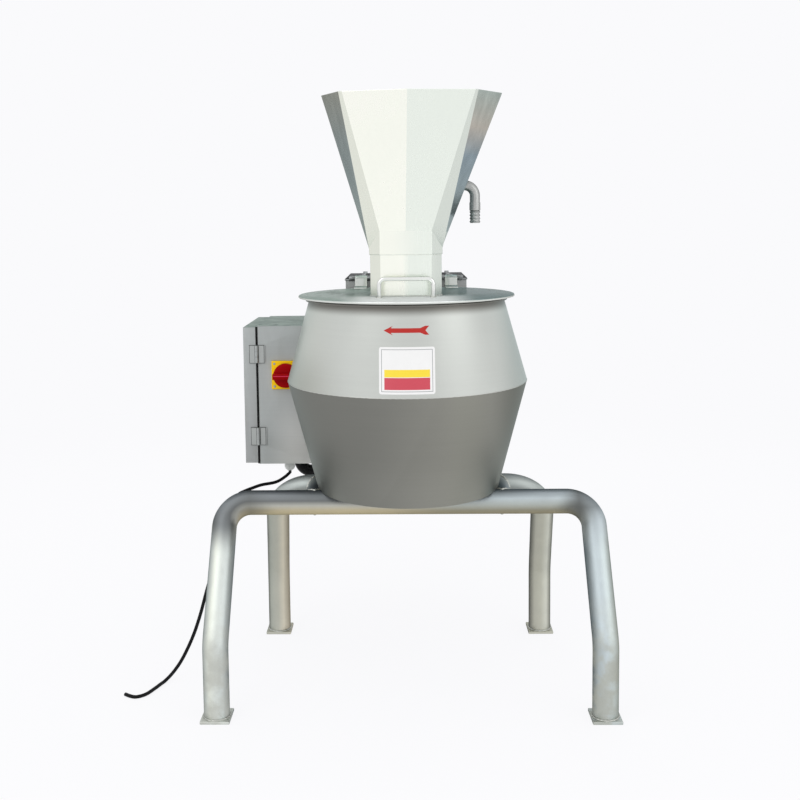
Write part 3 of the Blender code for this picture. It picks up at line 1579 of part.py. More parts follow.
cut_boxes(
    door,
    "door_inside",
    [
        (
            (DOOR_LEFT + BOX_SHEET, BOX_FRONT + BOX_SHEET, DOOR_BASE + BOX_SHEET),
            (DOOR_RIGHT + FINGER, BOX_BACK - BOX_SHEET, DOOR_TOP - BOX_SHEET),
        )
    ],
)
LATCH_Y = BOX_BACK - LATCH_INSET
LATCH_Z = (BOX_BOTTOM + BOX_TOP) / 2
CAM_X = BOX_SEAM + BOX_SHEET + GAP
LATCH_END = CAM_X + LATCH_CAM_THICKNESS
LATCH_FACE = DOOR_LEFT - GAP - LATCH_CAM_THICKNESS
cut_rods(
    door,
    "door_latch_hole",
    [(DOOR_LEFT - BOX_SHEET, LATCH_Y, LATCH_Z)],
    3 * BOX_SHEET,
    clear_of(LATCH_BARREL, 16),
    "X",
    16,
)
latch = rods(
    "door_latch",
    [(DOOR_LEFT - GAP - LATCH_CAM_THICKNESS / 2, LATCH_Y, LATCH_Z)],
    LATCH_END - DOOR_LEFT + GAP + LATCH_CAM_THICKNESS / 2,
    LATCH_BARREL,
    BRIGHT_STEEL,
    "X",
    16,
    at=(DOOR_LEFT, LATCH_Y, LATCH_Z),
)
latch_head, latch_cam = bmesh.new(), bmesh.new()
add_rod(latch_head, (LATCH_FACE, LATCH_Y, LATCH_Z), LATCH_CAM_THICKNESS, LATCH_HEAD, "X", 16)
add_box(
    latch_cam,
    (CAM_X, LATCH_Y - LATCH_CAM_WIDTH / 2, LATCH_Z - LATCH_CAM_WIDTH / 2),
    (LATCH_END, LATCH_Y + LATCH_CAM_WIDTH / 2, LATCH_Z + LATCH_CAM_LENGTH),
)
boolean(latch, from_bmesh("latch_head", latch_head, None, helpers), "UNION")
boolean(latch, from_bmesh("latch_cam", latch_cam, None, helpers), "UNION")
SLOT_HALF = 0.6 * LATCH_HEAD
cut_boxes(
    latch,
    "latch_slot",
    [
        (
            (LATCH_FACE - GAP, LATCH_Y - SLOT_HALF, LATCH_Z - SLOT_HALF / 8),
            (LATCH_FACE + LATCH_CAM_THICKNESS / 2, LATCH_Y + SLOT_HALF, LATCH_Z + SLOT_HALF / 8),
        )
    ],
)


def butt_leaves(owner, name, side, spans):
    """One leaf of each door hinge, joined to its owner: a plate on the front and its knuckles."""
    plates, rolls, bores = bmesh.new(), bmesh.new(), []
    plate_front = BOX_FRONT - BUTT_THICKNESS
    near = BOX_SEAM + side * (BUTT_RADIUS + 2 * GAP)
    far = near + side * BUTT_WIDTH
    inward = BOX_SEAM + side * BUTT_RADIUS / 2
    for low in BUTT_LOWS:
        base = BOX_BOTTOM + low
        add_box(
            plates,
            (min(near, far), plate_front, base),
            (max(near, far), BOX_FRONT + BOX_SHEET / 2, base + BUTT_HEIGHT),
        )
        for first, last in spans:
            first_z, last_z = base + first * BUTT_HEIGHT + GAP, base + last * BUTT_HEIGHT
            add_rod(rolls, (BOX_SEAM, BUTT_AXIS_Y, first_z), last_z - first_z, BUTT_RADIUS, "Z", 12)
            add_box(
                plates,
                (min(inward, near + side * GAP), plate_front, first_z),
                (max(inward, near + side * GAP), plate_front + BUTT_THICKNESS, last_z),
            )
            bores.append((BOX_SEAM, BUTT_AXIS_Y, first_z - GAP))
    for part, shape in (("plates", plates), ("rolls", rolls)):
        boolean(owner, from_bmesh(f"{name}_{part}", shape, None, helpers), "UNION")
        owner.modifiers[-1].use_self = True
    cut_rods(owner, name + "_bores", bores, BUTT_HEIGHT * 0.36, BUTT_PIN + GAP, "Z", 12)


BUTT_LOWS = (BUTT_LOW, BUTT_HIGH - BUTT_HEIGHT)
butt_leaves(box_body, "body_hinge", 1, ((0.0, 0.33), (0.67, 1.0)))
butt_leaves(door, "door_hinge", -1, ((0.33, 0.67),))
for level, low in zip(("lower", "upper"), BUTT_LOWS):
    rods(
        f"door_hinge_pin_{level}",
        [(BOX_SEAM, BUTT_AXIS_Y, BOX_BOTTOM + low)],
        BUTT_HEIGHT,
        BUTT_PIN,
        BRIGHT_STEEL,
        "Z",
        12,
        at=BUTT_AXIS,
    )
PANEL_X = BOX_RIGHT - BOX_SHEET - GAP
box(
    "mounting_plate",
    (PANEL_X - PANEL_THICKNESS, BOX_FRONT + PANEL_INSET_Y, BOX_BOTTOM + PANEL_INSET_Z),
    (PANEL_X, BOX_BACK - PANEL_INSET_Y, BOX_TOP - PANEL_INSET_Z),
    BOX_STEEL,
)
DEVICE_X = PANEL_X - PANEL_THICKNESS - GAP
CONTACTOR_FRONT = BOX_FRONT + CONTACTOR_Y
CONTACTOR_BASE = BOX_BOTTOM + CONTACTOR_RISE
TERMINALS_FRONT = BOX_FRONT + TERMINALS_Y
TERMINALS_BASE = BOX_BOTTOM + TERMINALS_RISE
box(
    "contactor",
    (DEVICE_X - CONTACTOR_DEPTH, CONTACTOR_FRONT, CONTACTOR_BASE),
    (DEVICE_X, CONTACTOR_FRONT + CONTACTOR_WIDTH, CONTACTOR_BASE + CONTACTOR_HEIGHT),
    GREY_PLASTIC,
    bevel=0.003,
)
terminals = box(
    "terminal_strip",
    (DEVICE_X - TERMINALS_DEPTH, TERMINALS_FRONT, TERMINALS_BASE),
    (DEVICE_X, TERMINALS_FRONT + TERMINALS_LENGTH, TERMINALS_BASE + TERMINALS_HEIGHT),
    GREY_PLASTIC,
)
slot_face = DEVICE_X - TERMINALS_DEPTH
TERMINALS_TOP = TERMINALS_BASE + TERMINALS_HEIGHT
cut_boxes(
    terminals,
    "terminal_gaps",
    [
        (
            (slot_face - GAP, slot_y - TERMINAL_SLOT / 2, TERMINALS_BASE + TERMINAL_SLOT_RISE),
            (slot_face + TERMINAL_SLOT_DEPTH, slot_y + TERMINAL_SLOT / 2, TERMINALS_TOP + GAP),
        )
        for slot_y in (
            TERMINALS_FRONT + i * TERMINAL_PITCH for i in range(1, round(TERMINALS_LENGTH / TERMINAL_PITCH))
        )
    ],
)

# Main switch on the front of the box

SWITCH_BACK = BOX_FRONT - GAP
SWITCH_FACE = SWITCH_BACK - SWITCH_PLATE
switch_half = SWITCH_SIDE / 2
switch_plate = box(
    "switch_plate",
    (SWITCH_X - switch_half, SWITCH_FACE, SWITCH_Z - switch_half),
    (SWITCH_X + switch_half, SWITCH_BACK, SWITCH_Z + switch_half),
    YELLOW_PLASTIC,
)
cut_rods(
    switch_plate,
    "switch_plate_hole",
    [(SWITCH_X, SWITCH_FACE - GAP, SWITCH_Z)],
    SWITCH_PLATE + 2 * GAP,
    SWITCH_STEM + 2 * RUNNING_GAP,
    "Y",
    16,
)
SWITCH_AXIS = (SWITCH_X, SWITCH_FACE, SWITCH_Z)
KNOB_BACK = SWITCH_FACE - GAP
STEM_END = BOX_FRONT + BOX_SHEET + GAP
knob = rods(
    "switch_knob",
    [(SWITCH_X, KNOB_BACK - KNOB_BASE, SWITCH_Z)],
    KNOB_BASE,
    KNOB_RADIUS,
    RED_PLASTIC,
    "Y",
    32,
    at=SWITCH_AXIS,
)
grip, stem = bmesh.new(), bmesh.new()
grip_front = KNOB_BACK - KNOB_BASE - KNOB_GRIP
add_box(
    grip,
    (SWITCH_X - KNOB_RADIUS, grip_front, SWITCH_Z - KNOB_RADIUS / 4),
    (SWITCH_X + 0.8 * KNOB_RADIUS, KNOB_BACK - KNOB_BASE / 2, SWITCH_Z + KNOB_RADIUS / 4),
)
STEM_START = KNOB_BACK - KNOB_BASE / 2
add_rod(stem, (SWITCH_X, STEM_START, SWITCH_Z), STEM_END - STEM_START, SWITCH_STEM, "Y", 16)
boolean(knob, from_bmesh("knob_grip", grip, None, helpers), "UNION")
boolean(knob, from_bmesh("knob_stem", stem, None, helpers), "UNION")
SWITCH_BODY_SIDE = 0.048
SWITCH_BODY_DEPTH = 0.045
body_half = SWITCH_BODY_SIDE / 2
box(
    "switch_body",
    (SWITCH_X - body_half, STEM_END + GAP, SWITCH_Z - body_half),
    (SWITCH_X + body_half, STEM_END + GAP + SWITCH_BODY_DEPTH, SWITCH_Z + body_half),
    GREY_PLASTIC,
    bevel=0.002,
)

# Gland, cord, conduit and brackets

GLAND_END = BOX_BOTTOM - GAP - GLAND_DROP
turned(
    "cable_gland",
    [
        (GLAND_THREAD, BOX_BOTTOM + BOX_SHEET + 0.004),
        (GLAND_THREAD, BOX_BOTTOM - GAP),
        (GLAND_RADIUS, BOX_BOTTOM - GAP),
        (GLAND_RADIUS, BOX_BOTTOM - 0.30 * GLAND_DROP),
        (0.92 * GLAND_RADIUS, BOX_BOTTOM - 0.32 * GLAND_DROP),
        (0.92 * GLAND_RADIUS, BOX_BOTTOM - 0.65 * GLAND_DROP),
        (0.75 * GLAND_RADIUS, BOX_BOTTOM - 0.88 * GLAND_DROP),
        (0.50 * GLAND_RADIUS, GLAND_END),
        (0.25 * GLAND_RADIUS, GLAND_END),
        (0.25 * GLAND_RADIUS, BOX_BOTTOM + BOX_SHEET + 0.004),
    ],
    CLEAR_NYLON,
    16,
    at=(GLAND_X, GLAND_Y, 0),
)
CORD_LYING = CORD_RADIUS + GAP
CORD_ROUTE = [
    (GLAND_X, GLAND_Y, GLAND_END - 0.006),
    (-0.288, 0.180, 0.3805),
    (-0.307, 0.165, 0.3725),
    (-0.337, 0.140, 0.3725),
    (-0.354, 0.125, 0.3700),
    (-0.371, 0.110, 0.3665),
    (-0.385, 0.098, 0.3610),
    (-0.400, 0.075, 0.3450),
    (-0.412, 0.060, 0.3180),
    (-0.419, 0.045, 0.2850),
    (-0.424, 0.030, 0.2530),
    (-0.432, 0.012, 0.2120),
    (-0.443, -0.004, 0.1700),
    (-0.454, -0.018, 0.1270),
    (-0.468, -0.032, 0.0850),
    (-0.488, -0.046, 0.0430),
    (-0.507, -0.056, 0.0160),
    (-0.523, -0.078, CORD_LYING),
    (-0.534, -0.106, CORD_LYING),
    (-0.547, -0.134, CORD_LYING),
    (-0.564, -0.146, CORD_LYING),
    (-0.578, -0.142, CORD_LYING),
    (-0.590, -0.134, CORD_LYING),
]
cord_path = [(x, y, max(z, CORD_LYING)) for x, y, z in smooth_path(CORD_ROUTE, 0.0135)]
cord_path.insert(0, (GLAND_X, GLAND_Y, GLAND_END - GAP))
tube("power_cord", cord_path, CORD_RADIUS, BLACK_RUBBER, 2)


FITTING_DEPTH = 0.014
FITTING = [
    (CONDUIT_THREAD, 0.006),
    (CONDUIT_THREAD, 0),
    (CONDUIT_NUT, 0),
    (CONDUIT_NUT, -0.008),
    (CONDUIT_RADIUS + 0.002, -0.010),
    (CONDUIT_RADIUS + 0.002, -FITTING_DEPTH),
    (0, -FITTING_DEPTH),
    (0, 0.006),
]
fittings = bmesh.new()
add_turned(fittings, FITTING, Matrix.Translation((CONDUIT_X, CONDUIT_Y, BOX_BOTTOM - GAP)), 12)
add_turned(
    fittings,
    FITTING,
    Matrix.Translation((-CASE_HALF_X - GAP, CONDUIT_Y, CONDUIT_END_Z)) @ TURNS["X"],
    12,
)
conduit_top = BOX_BOTTOM - FITTING_DEPTH / 2
conduit_right = -CASE_HALF_X - FITTING_DEPTH / 2
CONDUIT_ROUTE = [
    (CONDUIT_X, CONDUIT_Y, conduit_top),
    (CONDUIT_X + 0.003, CONDUIT_Y, conduit_top - 0.012),
    (CONDUIT_X + 0.016, CONDUIT_Y, conduit_top - 0.025),
    (CONDUIT_X + 0.036, CONDUIT_Y, conduit_top - 0.026),
    (CONDUIT_X + 0.056, CONDUIT_Y, conduit_top - 0.012),
    (CONDUIT_X + 0.072, CONDUIT_Y, conduit_top + 0.012),
    (CONDUIT_X + 0.086, CONDUIT_Y, CONDUIT_END_Z - 0.006),
    (conduit_right - 0.004, CONDUIT_Y, CONDUIT_END_Z),
    (conduit_right, CONDUIT_Y, CONDUIT_END_Z),
]
conduit = as_mesh(tube("motor_conduit", smooth_path(CONDUIT_ROUTE, 0.008), CONDUIT_RADIUS, BLACK_RUBBER, 3))
boolean(conduit, from_bmesh("conduit_fittings", fittings, None, helpers), "UNION")

BRACKET_Y = BOX_FRONT + 0.62 * BOX_DEPTH
BRACKET_THICKNESS = 0.004


def bracket_outline():
    """From above: a flat on the box, a flat on the drive housing and the web between them."""
    box_face, case_face = BOX_RIGHT + GAP, -CASE_HALF_X - GAP
    box_flat, case_flat = box_face + BRACKET_THICKNESS, case_face - BRACKET_THICKNESS
    wide, narrow, web = BRACKET_DEPTH / 2, BRACKET_DEPTH / 4, BRACKET_THICKNESS / 2
    half = [(box_face, wide), (box_flat, wide), (box_flat, web)]
    half += [(case_flat, web), (case_flat, narrow), (case_face, narrow)]
    outline = [(x, -y) for x, y in half] + half[::-1]
    return [(x, BRACKET_Y + y) for x, y in outline]


for level, low in (("lower", BRACKET_LOW), ("upper", BRACKET_HIGH)):
    bracket = bmesh.new()
    base = BOX_BOTTOM + low
    add_prism(bracket, bracket_outline(), base, base + BRACKET_HEIGHT, 0.0)
    from_bmesh(f"box_bracket_{level}", bracket, BLASTED_STEEL)
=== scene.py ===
import json
import math

import bpy
from mathutils import Matrix, Vector, noise

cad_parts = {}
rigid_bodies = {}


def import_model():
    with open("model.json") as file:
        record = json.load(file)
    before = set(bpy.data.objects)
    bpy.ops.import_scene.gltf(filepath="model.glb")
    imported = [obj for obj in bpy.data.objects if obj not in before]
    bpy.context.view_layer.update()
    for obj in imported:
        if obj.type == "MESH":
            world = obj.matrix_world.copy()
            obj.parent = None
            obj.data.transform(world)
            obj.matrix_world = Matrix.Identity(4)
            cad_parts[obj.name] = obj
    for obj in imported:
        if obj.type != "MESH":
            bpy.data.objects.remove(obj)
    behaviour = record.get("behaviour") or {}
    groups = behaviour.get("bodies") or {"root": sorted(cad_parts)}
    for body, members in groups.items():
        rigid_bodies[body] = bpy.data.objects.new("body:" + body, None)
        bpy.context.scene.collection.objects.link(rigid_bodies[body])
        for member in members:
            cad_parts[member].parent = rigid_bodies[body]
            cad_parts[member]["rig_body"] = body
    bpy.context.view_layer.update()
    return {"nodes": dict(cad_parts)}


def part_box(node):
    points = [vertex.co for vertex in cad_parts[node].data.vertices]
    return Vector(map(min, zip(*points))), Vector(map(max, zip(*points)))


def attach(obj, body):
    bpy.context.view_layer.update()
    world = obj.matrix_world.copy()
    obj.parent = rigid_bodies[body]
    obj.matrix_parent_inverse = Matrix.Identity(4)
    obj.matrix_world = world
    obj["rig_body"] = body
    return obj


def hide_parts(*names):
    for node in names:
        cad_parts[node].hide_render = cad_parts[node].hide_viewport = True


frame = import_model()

nodes = frame["nodes"]
print("frame loaded:", len(nodes), "CAD nodes")


def deselect():
    for obj in bpy.context.selected_objects:
        obj.select_set(False)


def pick(*chosen):  # the first becomes the active one
    deselect()
    for obj in chosen:
        obj.select_set(True)
    bpy.context.view_layer.objects.active = chosen[0]


def added(name, data):
    obj = bpy.data.objects.new(name, data)
    bpy.context.scene.collection.objects.link(obj)
    pick(obj)
    return obj


def middle(nodeName):
    low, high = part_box(nodeName)
    return (low + high) / 2


axisY = middle("spindle").y  # the barrel's axis, which the front view looks at
machine = {"tubeRadius": 0.0255, "frameHeight": 0.389, "archY": 0.066, "railX": 0.196, "gap": 0.0003}

# Camera: level of a standing person's chest, tipped down a little, as in the photograph

cameraLook = {"place": (-0.001, axisY - 2.1559, 0.9775), "turn": 1.4576, "tip": -5.0, "roll": -0.6836,
              "lens": 45.879, "shiftY": -0.1139, "shiftX": 0.0250}
cameraData = bpy.data.cameras.new("photoCamera")
cameraData.lens = cameraLook["lens"]
cameraData.sensor_width = 36.0
cameraData.shift_x = cameraLook["shiftX"]
cameraData.shift_y = cameraLook["shiftY"]
camera = bpy.data.objects.new("photoCamera", cameraData)
turn = Matrix.Rotation(math.radians(cameraLook["turn"]), 4, "Z")
tip = Matrix.Rotation(math.radians(90 + cameraLook["tip"]), 4, "X")
roll = Matrix.Rotation(math.radians(cameraLook["roll"]), 4, "Z")
camera.matrix_world = Matrix.Translation(cameraLook["place"]) @ turn @ tip @ roll
bpy.context.scene.collection.objects.link(camera)
bpy.context.scene.camera = camera
print("camera placed")

# Shader expressions


def expression(operation, reflected=False):
    def result(self, other=None):
        return self.through(operation, other, self) if reflected else self.through(operation, self, other)
    return result


class Channel:
    def __init__(self, tree, socket):
        self.tree = tree
        self.socket = socket

    def through(self, operation, first, second=None):
        node = self.tree.nodes.new("ShaderNodeMath")
        node.operation = operation
        for socket, value in zip(node.inputs, (first, second)):
            if isinstance(value, Channel):
                self.tree.links.new(value.socket, socket)
            elif value is not None:
                socket.default_value = value
        return Channel(self.tree, node.outputs[0])

    __add__ = __radd__ = expression("ADD")
    __sub__, __rsub__ = expression("SUBTRACT"), expression("SUBTRACT", True)
    __mul__ = __rmul__ = expression("MULTIPLY")
    __gt__, __lt__ = expression("GREATER_THAN"), expression("LESS_THAN")
    __abs__ = expression("ABSOLUTE")


def newNode(tree, kind, settings=None, inputs=None, output=0):
    node = tree.nodes.new(kind)
    for key, value in (settings or {}).items():
        if key == "stops":
            elements = node.color_ramp.elements
            while len(elements) < len(value):
                elements.new(0.5)
            for element, (place, *colour) in zip(elements, value):
                element.position, element.color = place, (*colour, 1.0)
        else:
            setattr(node, key, value)
    for key, value in (inputs or {}).items():
        if isinstance(value, Channel):
            tree.links.new(value.socket, node.inputs[key])
        else:
            node.inputs[key].default_value = value
    return Channel(tree, node.outputs[output])


class Surface:
    def __init__(self, name, **fixed):
        self.material = bpy.data.materials.new(name)
        self.material.use_nodes = True
        self.tree = self.material.node_tree
        self.shader = self.tree.nodes["Principled BSDF"]
        for socket, value in fixed.items():
            self.shader.inputs[socket.replace("_", " ")].default_value = value
        self.point = self.make("ShaderNodeTexCoord", output="Object")
        self.facing = self.make("ShaderNodeAttribute", {"attribute_name": "facing"}, output="Vector")

    def make(self, kind, settings=None, inputs=None, output=0):
        return newNode(self.tree, kind, settings, inputs, output)

    def stretched(self, scale):
        return self.make("ShaderNodeMapping", inputs={"Vector": self.point, "Scale": scale})

    def noise(self, scale, detail=3.0, roughness=0.55, source=None):
        inputs = {"Vector": source or self.point, "Scale": scale, "Detail": detail, "Roughness": roughness}
        return self.make("ShaderNodeTexNoise", inputs=inputs)

    def at(self, letter):  # place along one axis
        return self.make("ShaderNodeSeparateXYZ", inputs={0: self.point}, output=letter)

    def turned(self, letter):  # how far a face is turned along one axis
        return self.make("ShaderNodeSeparateXYZ", inputs={0: self.facing}, output=letter)

    def clamp(self, value, low=0.0, high=1.0):
        return self.make("ShaderNodeClamp", inputs={0: value, 1: low, 2: high})

    def ramp(self, value, low, high):
        inputs = {0: value, 1: low, 2: high, 3: 0.0, 4: 1.0}
        return self.make("ShaderNodeMapRange", {"interpolation_type": "SMOOTHSTEP"}, inputs)

    def bands(self, value, stops):  # tones in order along a value from -1 to 1
        return self.make("ShaderNodeValToRGB", {"stops": stops}, {0: value * 0.5 + 0.5})

    def mix(self, factor, first, second):
        inputs = {0: factor, 6: colour4(first), 7: colour4(second)}
        return self.make("ShaderNodeMix", {"data_type": "RGBA"}, inputs, output=2)

    def tinted(self, colour, tone):
        return self.make("ShaderNodeVectorMath", {"operation": "SCALE"}, {0: colour, "Scale": tone})

    def feed(self, socket, value):
        self.tree.links.new(value.socket, self.shader.inputs[socket])

    def bump(self, height, strength, distance=0.001):
        inputs = {"Height": height, "Strength": strength, "Distance": distance}
        self.feed("Normal", self.make("ShaderNodeBump", inputs=inputs))


def colour4(colour):
    return colour if isinstance(colour, Channel) else (*colour, 1.0)


def steel(name, look):
    edgeTint = shaded((0.9, 1.0, 1.0, 1.0), look["edgeTint"])
    surface = Surface(name, Metallic=look["metallic"], Specular_IOR_Level=0.0, Specular_Tint=edgeTint)
    grain = surface.noise(1.0, 4.0, 0.6, surface.stretched(look["grain"]))
    fine = surface.noise(look["fineScale"], 2.0)
    cloud = surface.noise(look["cloudScale"], 3.0, 0.5)
    tone = (grain - 0.5) * look["grainTone"] + (cloud - 0.5) * look["cloudTone"] + 1.0
    tone = tone + (fine - 0.5) * look["fineTone"]
    if "paint" in look:
        colour = look["paint"](surface)
    else:
        # faces turned up take a painted top tone: painted shade and reflection set by the way they face
        above = shaded(look["colour"], look["above"])
        colour = surface.mix(surface.ramp(surface.turned("Z"), 0.3, 0.8), look["colour"], above)
    surface.feed("Base Color", surface.tinted(colour, tone))
    rough = (grain - 0.5) * look["grainRough"] + (cloud - 0.5) * look["cloudRough"] + look["roughness"]
    surface.feed("Roughness", surface.clamp(rough, 0.05, 0.9))
    surface.bump(grain + fine * look["fineBump"], look["bump"], 0.0004)
    return surface.material


def shaded(colour, tone):
    return tuple(channel * tone for channel in colour)


# Painted reflection tones of the polished hopper's sides, from its knee up, each as place, red, green, blue
hopperReflectionTones = {
    "left": [(0.0, 0.40, 0.43, 0.39), (0.35, 0.37, 0.41, 0.40), (0.7, 0.33, 0.355, 0.345),
             (1.0, 0.367, 0.353, 0.308)],
    "right": [(0.0, 0.48, 0.54, 0.53), (0.3, 0.35, 0.41, 0.42), (0.60, 0.32, 0.38, 0.42),
              (0.78, 0.56, 0.51, 0.45), (1.0, 0.46, 0.51, 0.47)],
}


def hopperPaint(surface):  # each folded panel of polished sheet gets a painted reflection tone by the way it faces
    turnX, height = surface.turned("X"), surface.at("Z")
    right = surface.ramp(turnX + surface.at("X") * 0.5, -0.02, 0.02)
    colour = surface.mix(right, (0.985, 1.0, 0.905), (0.870, 0.920, 0.845))
    facet = surface.mix(right, (0.785, 0.805, 0.715), (0.700, 0.745, 0.685))
    colour = surface.mix(surface.ramp(abs(turnX), 0.21, 0.27), colour, facet)
    up = (height - 0.918) * 6.47 - 1.0
    side = surface.mix(right, *(surface.bands(up, hopperReflectionTones[hand]) for hand in ("left", "right")))
    reflectionStreak = surface.noise(1.0, 3.0, 0.5, surface.stretched((60, 60, 7)))
    side = surface.tinted(side, (reflectionStreak - 0.5) * 0.55 + 1.0)
    lower = 1.0 - surface.ramp(height, 0.950, 0.956)
    return surface.mix(surface.ramp(abs(turnX) - lower * 0.3, 0.50, 0.58), colour, side)


# Painted reflection and shade round the tubes: legs from left to right, arms from below to above
tubeReflectionTones = {
    "leftLeg": [(0.0, 0.26, 0.30, 0.29), (0.10, 0.54, 0.58, 0.56), (0.30, 0.80, 0.83, 0.75),
                (0.55, 0.74, 0.78, 0.74), (0.82, 0.70, 0.75, 0.73), (1.0, 0.28, 0.31, 0.31)],
    "rightLeg": [(0.0, 0.17, 0.20, 0.21), (0.15, 0.46, 0.52, 0.54), (0.45, 0.60, 0.67, 0.69),
                 (0.72, 0.61, 0.68, 0.67), (0.92, 0.46, 0.50, 0.47), (1.0, 0.20, 0.22, 0.20)],
    "leftArm": [(0.0, 0.62, 0.545, 0.35), (0.28, 0.61, 0.54, 0.37), (0.50, 0.52, 0.52, 0.47),
                (0.68, 0.18, 0.19, 0.19), (0.88, 0.26, 0.28, 0.29), (1.0, 0.09, 0.10, 0.11)],
    "rightArm": [(0.0, 0.42, 0.37, 0.25), (0.25, 0.35, 0.33, 0.25), (0.50, 0.46, 0.49, 0.46),
                 (0.75, 0.52, 0.58, 0.60), (0.92, 0.34, 0.38, 0.40), (1.0, 0.12, 0.14, 0.15)],
    "rearLeft": [(0.0, 0.20, 0.20, 0.18), (0.15, 0.44, 0.46, 0.41), (0.5, 0.53, 0.53, 0.46),
                 (0.75, 0.72, 0.68, 0.56), (1.0, 0.40, 0.36, 0.28)],
    "rearRight": [(0.0, 0.18, 0.18, 0.16), (0.2, 0.49, 0.49, 0.42), (0.5, 0.54, 0.54, 0.46),
                  (0.75, 0.68, 0.69, 0.61), (1.0, 0.22, 0.22, 0.19)],
    "rearArm": [(0.0, 0.20, 0.20, 0.18), (0.5, 0.38, 0.41, 0.40), (0.8, 0.52, 0.56, 0.54),
                (1.0, 0.22, 0.24, 0.24)],
}
bendShadows = [(0.352, 0.385, 0.062, 0.90), (-0.330, 0.378, 0.070, 0.55)]  # x, z, reach, depth of each


def tubePaint(surface):  # painted reflections, cool above and warm below, and painted highlight bands down the front legs
    turnX, turnZ = surface.turned("X"), surface.turned("Z")
    acrossX, height = surface.at("X"), surface.at("Z")
    right = surface.ramp(acrossX, -0.12, 0.12)
    reflectionBands = {}
    for name, stops in tubeReflectionTones.items():
        reflectionBands[name] = surface.bands(turnZ if "Arm" in name else turnX, stops)
    legs = surface.mix(right, reflectionBands["leftLeg"], reflectionBands["rightLeg"])
    arms = surface.mix(right, reflectionBands["leftArm"], reflectionBands["rightArm"])
    colour = surface.mix(surface.ramp(height, 0.300, 0.362), legs, arms)
    for x, z, reach, depth in bendShadows:
        apart = abs(acrossX - x) + abs(height - z) * 0.8
        colour = surface.mix((1.0 - surface.ramp(apart, 0.0, reach)) * depth, colour, (0.11, 0.115, 0.11))
    # painted shade on the lower legs, broken up by a mottle
    foot = surface.ramp(0.26 - height, 0.0, 0.16) * surface.ramp(surface.noise(26.0, 4.0, 0.6), 0.30, 0.62)
    colour = surface.mix(foot * 0.75, colour, surface.mix(right, (0.55, 0.56, 0.51), (0.47, 0.475, 0.41)))
    rearLegs = surface.mix(right, reflectionBands["rearLeft"], reflectionBands["rearRight"])
    rear = surface.mix(surface.ramp(height, 0.345, 0.375), rearLegs, reflectionBands["rearArm"])
    return surface.mix(surface.ramp(surface.at("Y"), -0.16, -0.09), colour, rear)


# Painted reflections on the lid: the front of the hopper mirrored as a bright patch, and a dull green-grey
# with darker streaks at its sides
def lidPaint(surface):
    acrossX, alongY = surface.at("X"), surface.at("Y")
    colour = surface.mix(surface.ramp(acrossX, -0.15, 0.18), (0.40, 0.485, 0.44), (0.22, 0.295, 0.295))
    reflectionStreak = surface.ramp(surface.noise(1.0, 4.0, 0.6, surface.stretched((34, 9, 1))), 0.48, 0.62)
    back = surface.ramp(alongY, -0.22, -0.05)
    colour = surface.mix(reflectionStreak * (back * 0.4 + 0.15), colour, (0.17, 0.215, 0.19))
    hopperReflection = (1.0 - surface.ramp(abs(acrossX), 0.06, 0.15)) * surface.ramp(0.0 - alongY, 0.15, 0.23)
    colour = surface.mix(hopperReflection, colour, (0.97, 1.0, 0.99))
    return surface.mix(surface.ramp(surface.turned("Z"), 0.2, 0.8), (0.66, 0.68, 0.65), colour)


# Painted reflection and shade across the upper cone: darker low on the left and at the right edge
def upperConePaint(surface):
    acrossX, height = surface.at("X"), surface.at("Z")
    low = 1.0 - surface.ramp(height, 0.645, 0.74)
    colour = surface.mix(surface.ramp(acrossX, -0.24, -0.12), (0.59, 0.60, 0.55), (0.60, 0.62, 0.585))
    colour = surface.mix(low * surface.ramp(0.0 - acrossX, 0.10, 0.22) * 0.6, colour, (0.37, 0.38, 0.34))
    colour = surface.mix(surface.ramp(acrossX, 0.17, 0.23), colour, (0.49, 0.515, 0.485))
    # painted shadow of the lid along the top of the cone
    rim = surface.ramp(height, 0.788, 0.808) * 0.85
    return surface.mix(rim, colour, (0.11, 0.10, 0.085))


# The lower cone's dark tone is a painted reflection of the ground, with a lighter painted reflection band, a
# darker right edge, and lighter towards the bottom
def lowerConePaint(surface):
    acrossX, height = surface.at("X"), surface.at("Z")
    colour = surface.mix(surface.ramp(acrossX, -0.10, 0.10), (0.192, 0.193, 0.176), (0.258, 0.257, 0.230))
    coneReflectionBand = 1.0 - surface.ramp(abs(acrossX - 0.115), 0.01, 0.06)
    colour = surface.mix(coneReflectionBand * 0.6, colour, (0.275, 0.275, 0.240))
    colour = surface.mix(surface.ramp(acrossX, 0.16, 0.22), colour, (0.176, 0.176, 0.154))
    return surface.tinted(colour, (1.0 - surface.ramp(height, 0.43, 0.53)) * 0.14 + 1.08)


def boxPaint(surface):  # painted reflections: lighter where it faces the floor past the barrel, darker low at its left edge, and a mottled green-grey top
    acrossX, height = surface.at("X"), surface.at("Z")
    lowRight = (1.0 - surface.ramp(height, 0.43, 0.62)) * surface.ramp(acrossX, -0.33, -0.24)
    lowLeft = (1.0 - surface.ramp(height, 0.48, 0.66)) * (1.0 - surface.ramp(acrossX, -0.352, -0.338))
    colour = surface.mix(lowLeft, (0.415, 0.437, 0.432), (0.345, 0.352, 0.350))
    colour = surface.mix(lowRight, colour, (0.80, 0.80, 0.775))
    # paler blue-grey streaks, stretched up and down
    paleStreak = surface.ramp(surface.noise(1.0, 4.0, 0.6, surface.stretched((14, 14, 4))), 0.42, 0.68)
    colour = surface.mix(paleStreak * 0.35, colour, (0.52, 0.55, 0.56))
    # the mottled top tone is a painted reflection
    mottle = surface.ramp(surface.noise(30.0, 4.0, 0.6), 0.40, 0.62)
    above = surface.mix(mottle, (0.29, 0.34, 0.32), (0.37, 0.43, 0.40))
    return surface.mix(surface.ramp(surface.turned("Z"), 0.5, 0.9), colour, above)


